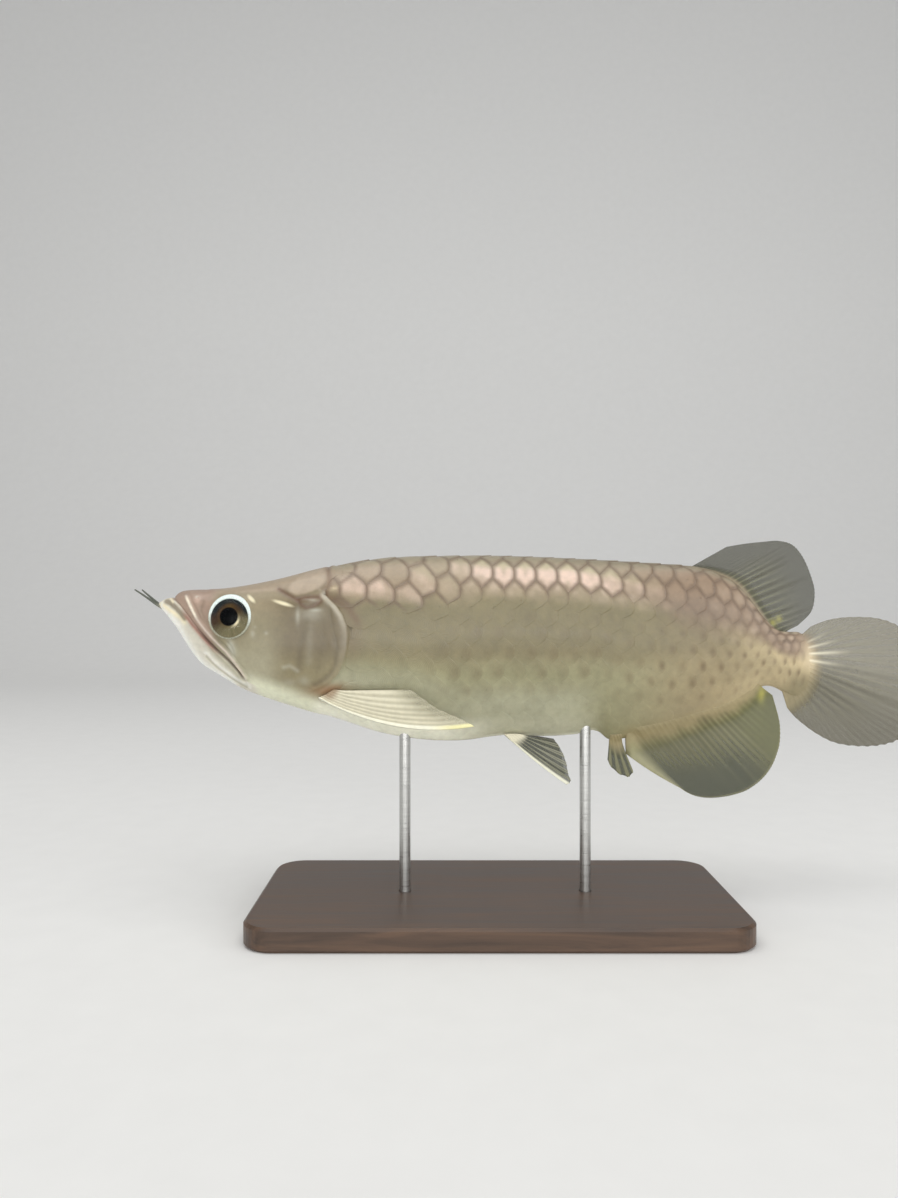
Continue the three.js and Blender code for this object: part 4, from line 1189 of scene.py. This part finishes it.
def dorsal_tint(s, t, ridge, x, z):
    rear = fade(0.3, 0.5, t)
    near = fade(0.85, 0.25, s)
    c = blend(np.broadcast_to(FIN_GREY, (*s.shape, 3)), FIN_RAY, ridge * (0.1 + 0.5 * rear) * near)
    streak = between_rays(s, t, DORSAL_RAYS, 21) * (0.1 + 0.9 * rear) * fade(0.06, 0.12, s)
    c = blend(c, FIN_STREAK, 0.65 * streak)
    for spot_x, spot_z in DORSAL_YELLOW:
        c = blend(c, FIN_YELLOW, 0.7 * spot_at(x, z, spot_x, spot_z, 1.5, 1.5))
    c = blend(c, SHEATH, 0.85 * fade(0.14, 0.07, s))
    return c, 0.62 + 0.06 * ridge * fade(0.9, 0.4, s) + 0.2 * streak + 0.5 * fade(0.25, 0.05, s)


def anal_tint(s, t, ridge, x, z):
    below = smooth_line(BELLY, x) - z + 3.0 * fade(65, 105, x)
    mid = bump_at((t - 0.58) / 0.26, 1.0)
    ragged = 2.2 * patches(ANAL_RAYS * t, 0 * t, 1.3, 9)
    deep = fade(0.3, 0.75, s) * fade(0.8, 0.5, t)
    olive = blend(np.broadcast_to(FIN_OLIVE, (*s.shape, 3)), FIN_DEEP, deep)
    olive = blend(olive, FIN_GREEN, 0.7 * fade(0.6, 0.8, t))
    body = blend(coat_colour(x, z), ANAL_BASE, 0.6)
    c = blend(olive, body, fade(7.5, -0.5, below + 0.5 * ragged))
    pale = between_rays(s, t + 0.5 / ANAL_RAYS * (t < 0.98), ANAL_RAYS, 23, 0.3)
    c = blend(c, FIN_BRIGHT, (0.05 + 0.3 * mid) * pale * fade(1.0, 4.0, below))
    streak = between_rays(s, t, ANAL_RAYS, 22, 0.32) * (0.25 + 0.75 * mid)
    streak = streak * fade(0.0, 3.5, below + ragged) * fade(18, 7, below + 3 * ragged)
    c = blend(c, FIN_STREAK, 0.6 * streak)
    c = blend(c, FIN_BRIGHT, 0.75 * fade(2.2, 0.4, t * ANAL_RAYS) * fade(0.0, 0.15, s))
    c = blend(c, FIN_YELLOW, 0.9 * spot_at(x, z, *ANAL_YELLOW, 1.6, 3.6))
    c = blend(c, FIN_BRIGHT, 0.35 * fade(0.965, 1.0, s))
    return c, 0.75 + 0.05 * ridge * fade(0.9, 0.4, s) + 0.1 * streak + 0.3 * fade(9, 3, below)


def lobe_tint(s, t, ridge, x, z):
    c = blend(np.broadcast_to(ANAL_BASE, (*s.shape, 3)), FIN_DEEP, fade(0.2, 0.6, s))
    c = blend(c, FIN_BRIGHT, 0.45 * ridge * fade(0.3, 0.6, s))
    return c, 0.75 + 0.15 * ridge + 0.5 * fade(0.65, 0.35, s)


def tail_tint(s, t, ridge, x, z):
    # The tail fin is darker below, partly its own browner tone and partly painted shade where it turns
    # from the light.
    c = blend(np.broadcast_to(TAIL_PALE, (*s.shape, 3)), TAIL_DARK, fade(0.4, 0.66, t))
    c = blend(c, FIN_BRIGHT, 0.16 * ridge * fade(0.9, 0.4, s))
    streak = between_rays(s, t, TAIL_RAYS, 24) * fade(0.1, 0.25, s)
    streak = streak * fade(0.38, 0.5, t) * fade(0.9, 0.74, t)
    c = blend(c, FIN_STREAK, 0.55 * streak)
    c = blend(c, TAIL_BRIGHT, 0.5 * fade(0.02, 0.0, t) * fade(0.7, 0.3, s))
    flesh = fade(1.38, 0.92, np.hypot((x - 127) / 15.5, (z - 110.5) / 18))
    c = blend(c, coat_colour(x, z), flesh)
    for place, reach in TAIL_GLEAMS:
        gleam = bump_at(t * TAIL_RAYS - place, 0.34) * fade(139, 143, x) * fade(reach, reach - 17, x)
        c = blend(c, TAIL_BRIGHT, 0.8 * gleam)
    return c, 0.58 + 0.05 * ridge + 0.16 * streak + 0.45 * flesh


fin_clear = clear_fin("clear_ray_fin", 0.42)
fin_pieces = [
    fin_sheet("dorsal_fin_sheet", "dorsal_fin", inside_body(BACK, 85.5, 128.5, -2.6, 9), DORSAL_EDGE,
              DORSAL_RAYS, dorsal_tint, root_half=1.5, root_long=3.6),
    fin_sheet("anal_fin_sheet", "anal_fin", [ANAL_FRONT, *inside_body(BELLY, 60, 118.6, 5, 12)],
              ANAL_EDGE, ANAL_RAYS, anal_tint, bow=(-0.3, 0, -0.6), first_ray=0.8, root_half=3.3,
              root_long=5.5, front_root=0.1),
    fin_sheet("anal_lobe_sheet", "anal_fin_lobe", inside_body(BELLY, 50, 56.8, 3, 6), LOBE_EDGE, 5,
              lobe_tint, rows=40, split=0.4, root_half=2.0, notch=0.03),
    fin_sheet("tail_fin_sheet", "tail_fin", TAIL_ROOT, TAIL_EDGE, TAIL_RAYS, tail_tint, fine=14,
              rows=90, ray_height=0.13, root_half=0.5, root_long=6.0, notch=0.01, wide=0.2),
]
for fin_piece in fin_pieces:
    fin_piece.data.materials.append(fin_clear)


# Paired fins. The long pectoral fins, folded back along the lower flanks behind the gill covers, each
# with a strong bowed first ray, and the short pelvic fins under the belly. Paler and thicker in the
# ray than the others, jointed to the girdle bones at their roots.
FIN_CREAM = paint(227, 221, 195)
CREAM_GROOVE = paint(208, 201, 175)
CREAM_RAY = paint(250, 248, 226)
TIP_GOLD = paint(240, 233, 166)
PELVIC_GREY = paint(78, 81, 68)
PELVIC_RAY = paint(156, 154, 130)
PECTORAL_RAYS = 7
PELVIC_RAYS = 6
PECTORAL_BASE = [(-77.6, 11.4, 97.4), (-74, 13.1, 99.1), (-70.6, 14.8, 101.2)]
PECTORAL_EDGE = [
    (-8.9, 21, 86.4), (-12.4, 21, 88.6), (-18.2, 20.9, 91.2), (-25, 20.7, 94.2), (-30.6, 20.3, 98),
    (-36.5, 20, 102.2),
]
PELVIC_BASE = [(4, 2.3, 80.4), (7.6, 2.3, 80.6), (11, 2.3, 80.4)]
PELVIC_EDGE = [
    (31.4, 9, 59), (33.4, 9, 60.4), (32.2, 8.9, 64), (31.4, 8.4, 68.4), (29.8, 7.4, 73),
    (27.4, 5.6, 77.2),
]


def pectoral_tint(s, t, ridge, x, z):
    c = blend(np.broadcast_to(CREAM_GROOVE, (*s.shape, 3)), FIN_CREAM, np.clip(ridge + 0.3, 0, 1))
    c = blend(c, LOW_SILVER, 0.3 * fade(0.5, 1.0, s) * fade(0.2, 0.6, t))
    first = fade(1.1, 0.7, t * PECTORAL_RAYS)
    c = blend(c, CREAM_RAY, 0.85 * first)
    c = blend(c, TIP_GOLD, 0.8 * first * fade(0.7, 0.9, s))
    c = blend(c, FIN_BASE_BROWN, 0.75 * fade(0.11, 0.02, s) * fade(0.05, 0.5, t))
    rear = fade(0.68, 1.0, s) * (1 - first)
    return c, (0.72 + 0.25 * np.maximum(ridge, fade(0.2, 0.05, s))) * (1 - 0.7 * rear)


def pelvic_tint(s, t, ridge, x, z):
    c = blend(np.broadcast_to(PELVIC_GREY, (*s.shape, 3)), PELVIC_RAY, 0.8 * ridge)
    c = blend(c, CREAM_RAY, 0.8 * fade(1.0, 0.5, t * PELVIC_RAYS))
    c = blend(c, FIN_CREAM, fade(0.25, 0.1, s))
    return c, 0.55 + 0.35 * np.maximum(ridge, fade(0.3, 0.1, s))


pale_fin = clear_fin("pale_ray_fin", 0.42)
for side_name, side in [("left", -1), ("right", 1)]:
    turned = [[(x, side * y, z) for x, y, z in line] for line in (
        PECTORAL_BASE, PECTORAL_EDGE, PELVIC_BASE, PELVIC_EDGE,
    )]
    pectoral = fin_sheet(
        f"pectoral_{side_name}_sheet", f"pectoral_fin_{side_name}", turned[0], turned[1],
        PECTORAL_RAYS, pectoral_tint, across=(side * 0.04, 0.9, side * 0.43), bow=(0, 0, -6),
        fine=16, rows=90, split=0.0, wide=0.3, notch=0.012, ray_height=0.26, first_ray=1.0,
    )
    pelvic = fin_sheet(
        f"pelvic_{side_name}_sheet", f"pelvic_fin_{side_name}", turned[2], turned[3], PELVIC_RAYS,
        pelvic_tint, across=(0, 0.93, side * 0.36), bow=(0, 0, -0.9), fine=12, rows=50,
        split=0.6, wide=0.14, notch=0.01, root_half=0.8, ray_height=0.14, first_ray=0.9,
    )
    for fin_piece in (pectoral, pelvic):
        fin_piece.data.materials.append(pale_fin)


# Stand. A flat plate of dark stained hardwood with an oiled, satin face, and two upright steel rods,
# brushed round their length, that are pressed into the plate and into blind holes in the belly.
WOOD_DARK = (0.040, 0.022, 0.013, 1)
WOOD_LIGHT = (0.115, 0.062, 0.034, 1)
STEEL_DARK = (0.40, 0.40, 0.39, 1)
STEEL_LIGHT = (0.62, 0.62, 0.60, 1)
BOARD_GRAIN = (6, 90, 60)
ROD_BRUSHING = (90, 90, 1500)


def grained(name, stretch, tones, gloss, groove, **noise):
    """Solid stuff with a grain: one stretched noise drives its tone, its gloss and its grooves."""
    material, nodes, links, shader = start_material(name)
    place = add_node(nodes, "ShaderNodeTexCoord")
    stretched = add_node(nodes, "ShaderNodeMapping")
    stretched.inputs["Scale"].default_value = stretch
    links.new(place.outputs["Object"], stretched.inputs["Vector"])
    grain = add_node(nodes, "ShaderNodeTexNoise", **noise)
    links.new(stretched.outputs["Vector"], grain.inputs["Vector"])
    tone = add_node(nodes, "ShaderNodeValToRGB")
    for element, (position, colour) in zip(tone.color_ramp.elements, tones):
        element.position = position
        element.color = colour
    links.new(grain.outputs["Fac"], tone.inputs["Fac"])
    links.new(tone.outputs["Color"], shader.inputs["Base Color"])
    links.new(spread(nodes, links, grain.outputs["Fac"], *gloss), shader.inputs["Roughness"])
    grooves = add_node(nodes, "ShaderNodeBump", Strength=groove[0], Distance=groove[1])
    links.new(grain.outputs["Fac"], grooves.inputs["Height"])
    links.new(grooves.outputs["Normal"], shader.inputs["Normal"])
    return material, shader


wood, shader = grained(
    "stained_hardwood", BOARD_GRAIN, [(0.34, WOOD_DARK), (0.7, WOOD_LIGHT)], (0.36, 0.5),
    (0.3, 0.0002), Scale=2.4, Detail=9.0, Roughness=0.62, Distortion=0.8,
)
shader.inputs["Coat Weight"].default_value = 0.15
shader.inputs["Coat Roughness"].default_value = 0.3
steel, shader = grained(
    "brushed_steel", ROD_BRUSHING, [(0.0, STEEL_DARK), (1.0, STEEL_LIGHT)], (0.26, 0.4),
    (0.15, 0.00003), Scale=1.0, Detail=4.0,
)
shader.inputs["Metallic"].default_value = 1.0
for node, finish in [("stand_base", wood), ("stand_rod_front", steel), ("stand_rod_rear", steel)]:
    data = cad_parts[node].data
    data.materials.clear()
    data.materials.append(finish)


# Studio. A plain pale floor that curves up behind, a camera at the photograph's place, and four soft
# lamps: one overhead, one in front, and weaker ones by the tail and low under the belly.
CAMERA_PLACE = (-0.0207, -0.407, 0.14095)
CAMERA_LENS = 27.2
PAPER_DARK = (0.84, 0.84, 0.83, 1)
PAPER_PALE = (0.88, 0.88, 0.87, 1)
AIR_LIGHT = 0.42
FLOOR_FRONT = -3.0
FLOOR_BACK = 1.1
SWEEP_RADIUS = 0.9
WALL_HEIGHT = 4.0
sweep = [(FLOOR_FRONT, 0.0), (FLOOR_BACK, 0.0)]
for turn in np.linspace(0.1, math.pi / 2, 14):
    sweep.append((FLOOR_BACK + SWEEP_RADIUS * math.sin(turn), SWEEP_RADIUS * (1 - math.cos(turn))))
sweep.append((FLOOR_BACK + SWEEP_RADIUS, WALL_HEIGHT))
floor_mesh = bpy.data.meshes.new("studio_floor")
floor_points = [(x, y, z) for y, z in sweep for x in (-4.0, 4.0)]
floor_faces = [(2 * k, 2 * k + 1, 2 * k + 3, 2 * k + 2) for k in range(len(sweep) - 1)]
floor_mesh.from_pydata(floor_points, [], floor_faces)
floor_mesh.polygons.foreach_set("use_smooth", [True] * len(floor_mesh.polygons))
floor = bpy.data.objects.new("studio_floor", floor_mesh)
bpy.context.scene.collection.objects.link(floor)
paper, nodes, links, shader = start_material("pale_paper")
place = add_node(nodes, "ShaderNodeTexCoord")
fibre = add_node(nodes, "ShaderNodeTexNoise", Scale=60.0, Detail=3.0)
links.new(place.outputs["Object"], fibre.inputs["Vector"])
tone = add_node(nodes, "ShaderNodeValToRGB")
tone.color_ramp.elements[0].color = PAPER_DARK
tone.color_ramp.elements[1].color = PAPER_PALE
links.new(fibre.outputs["Fac"], tone.inputs["Fac"])
links.new(tone.outputs["Color"], shader.inputs["Base Color"])
shader.inputs["Roughness"].default_value = 0.9
floor.data.materials.append(paper)

camera_data = bpy.data.cameras.new("camera")
camera_data.sensor_width = 36
camera_data.lens = CAMERA_LENS
camera_data.clip_start = 0.01
camera = bpy.data.objects.new("camera", camera_data)
camera.location = CAMERA_PLACE
camera.rotation_euler = (math.pi / 2, 0, 0)
bpy.context.scene.collection.objects.link(camera)
bpy.context.scene.camera = camera


def soft_lamp(name, place, target, size, power, tint):
    data = bpy.data.lights.new(name, "AREA")
    data.shape = "RECTANGLE"
    data.size, data.size_y = size
    data.energy = power
    data.color = tint
    lamp = bpy.data.objects.new(name, data)
    lamp.location = place
    aim = np.array(target) - np.array(place)
    tilt = math.atan2(math.hypot(aim[0], aim[1]), -aim[2])
    lamp.rotation_euler = (tilt, 0, math.atan2(-aim[0], aim[1]))
    bpy.context.scene.collection.objects.link(lamp)


soft_lamp("top_light", (-0.1, -0.3, 1.4), (0, 0, 0.12), (1.6, 1.0), 9.6, (1, 0.99, 0.97))
soft_lamp("front_light", (0.2, -1.9, 0.45), (0, 0, 0.1), (2.6, 1.0), 14.3, (1, 1, 1))
soft_lamp("right_light", (1.5, -0.6, 0.6), (0.05, 0, 0.12), (0.8, 0.8), 4.2, (0.97, 0.99, 1))
soft_lamp("low_light", (-0.1, -1.1, 0.06), (0, 0, 0.1), (1.8, 0.1), 2.8, (1, 1, 0.98))
world = bpy.data.worlds.new("studio_air")
world.use_nodes = True
world.node_tree.nodes["Background"].inputs["Color"].default_value = (1, 1, 1, 1)
world.node_tree.nodes["Background"].inputs["Strength"].default_value = AIR_LIGHT
bpy.context.scene.world = world
bpy.context.scene.view_settings.view_transform = "Standard"
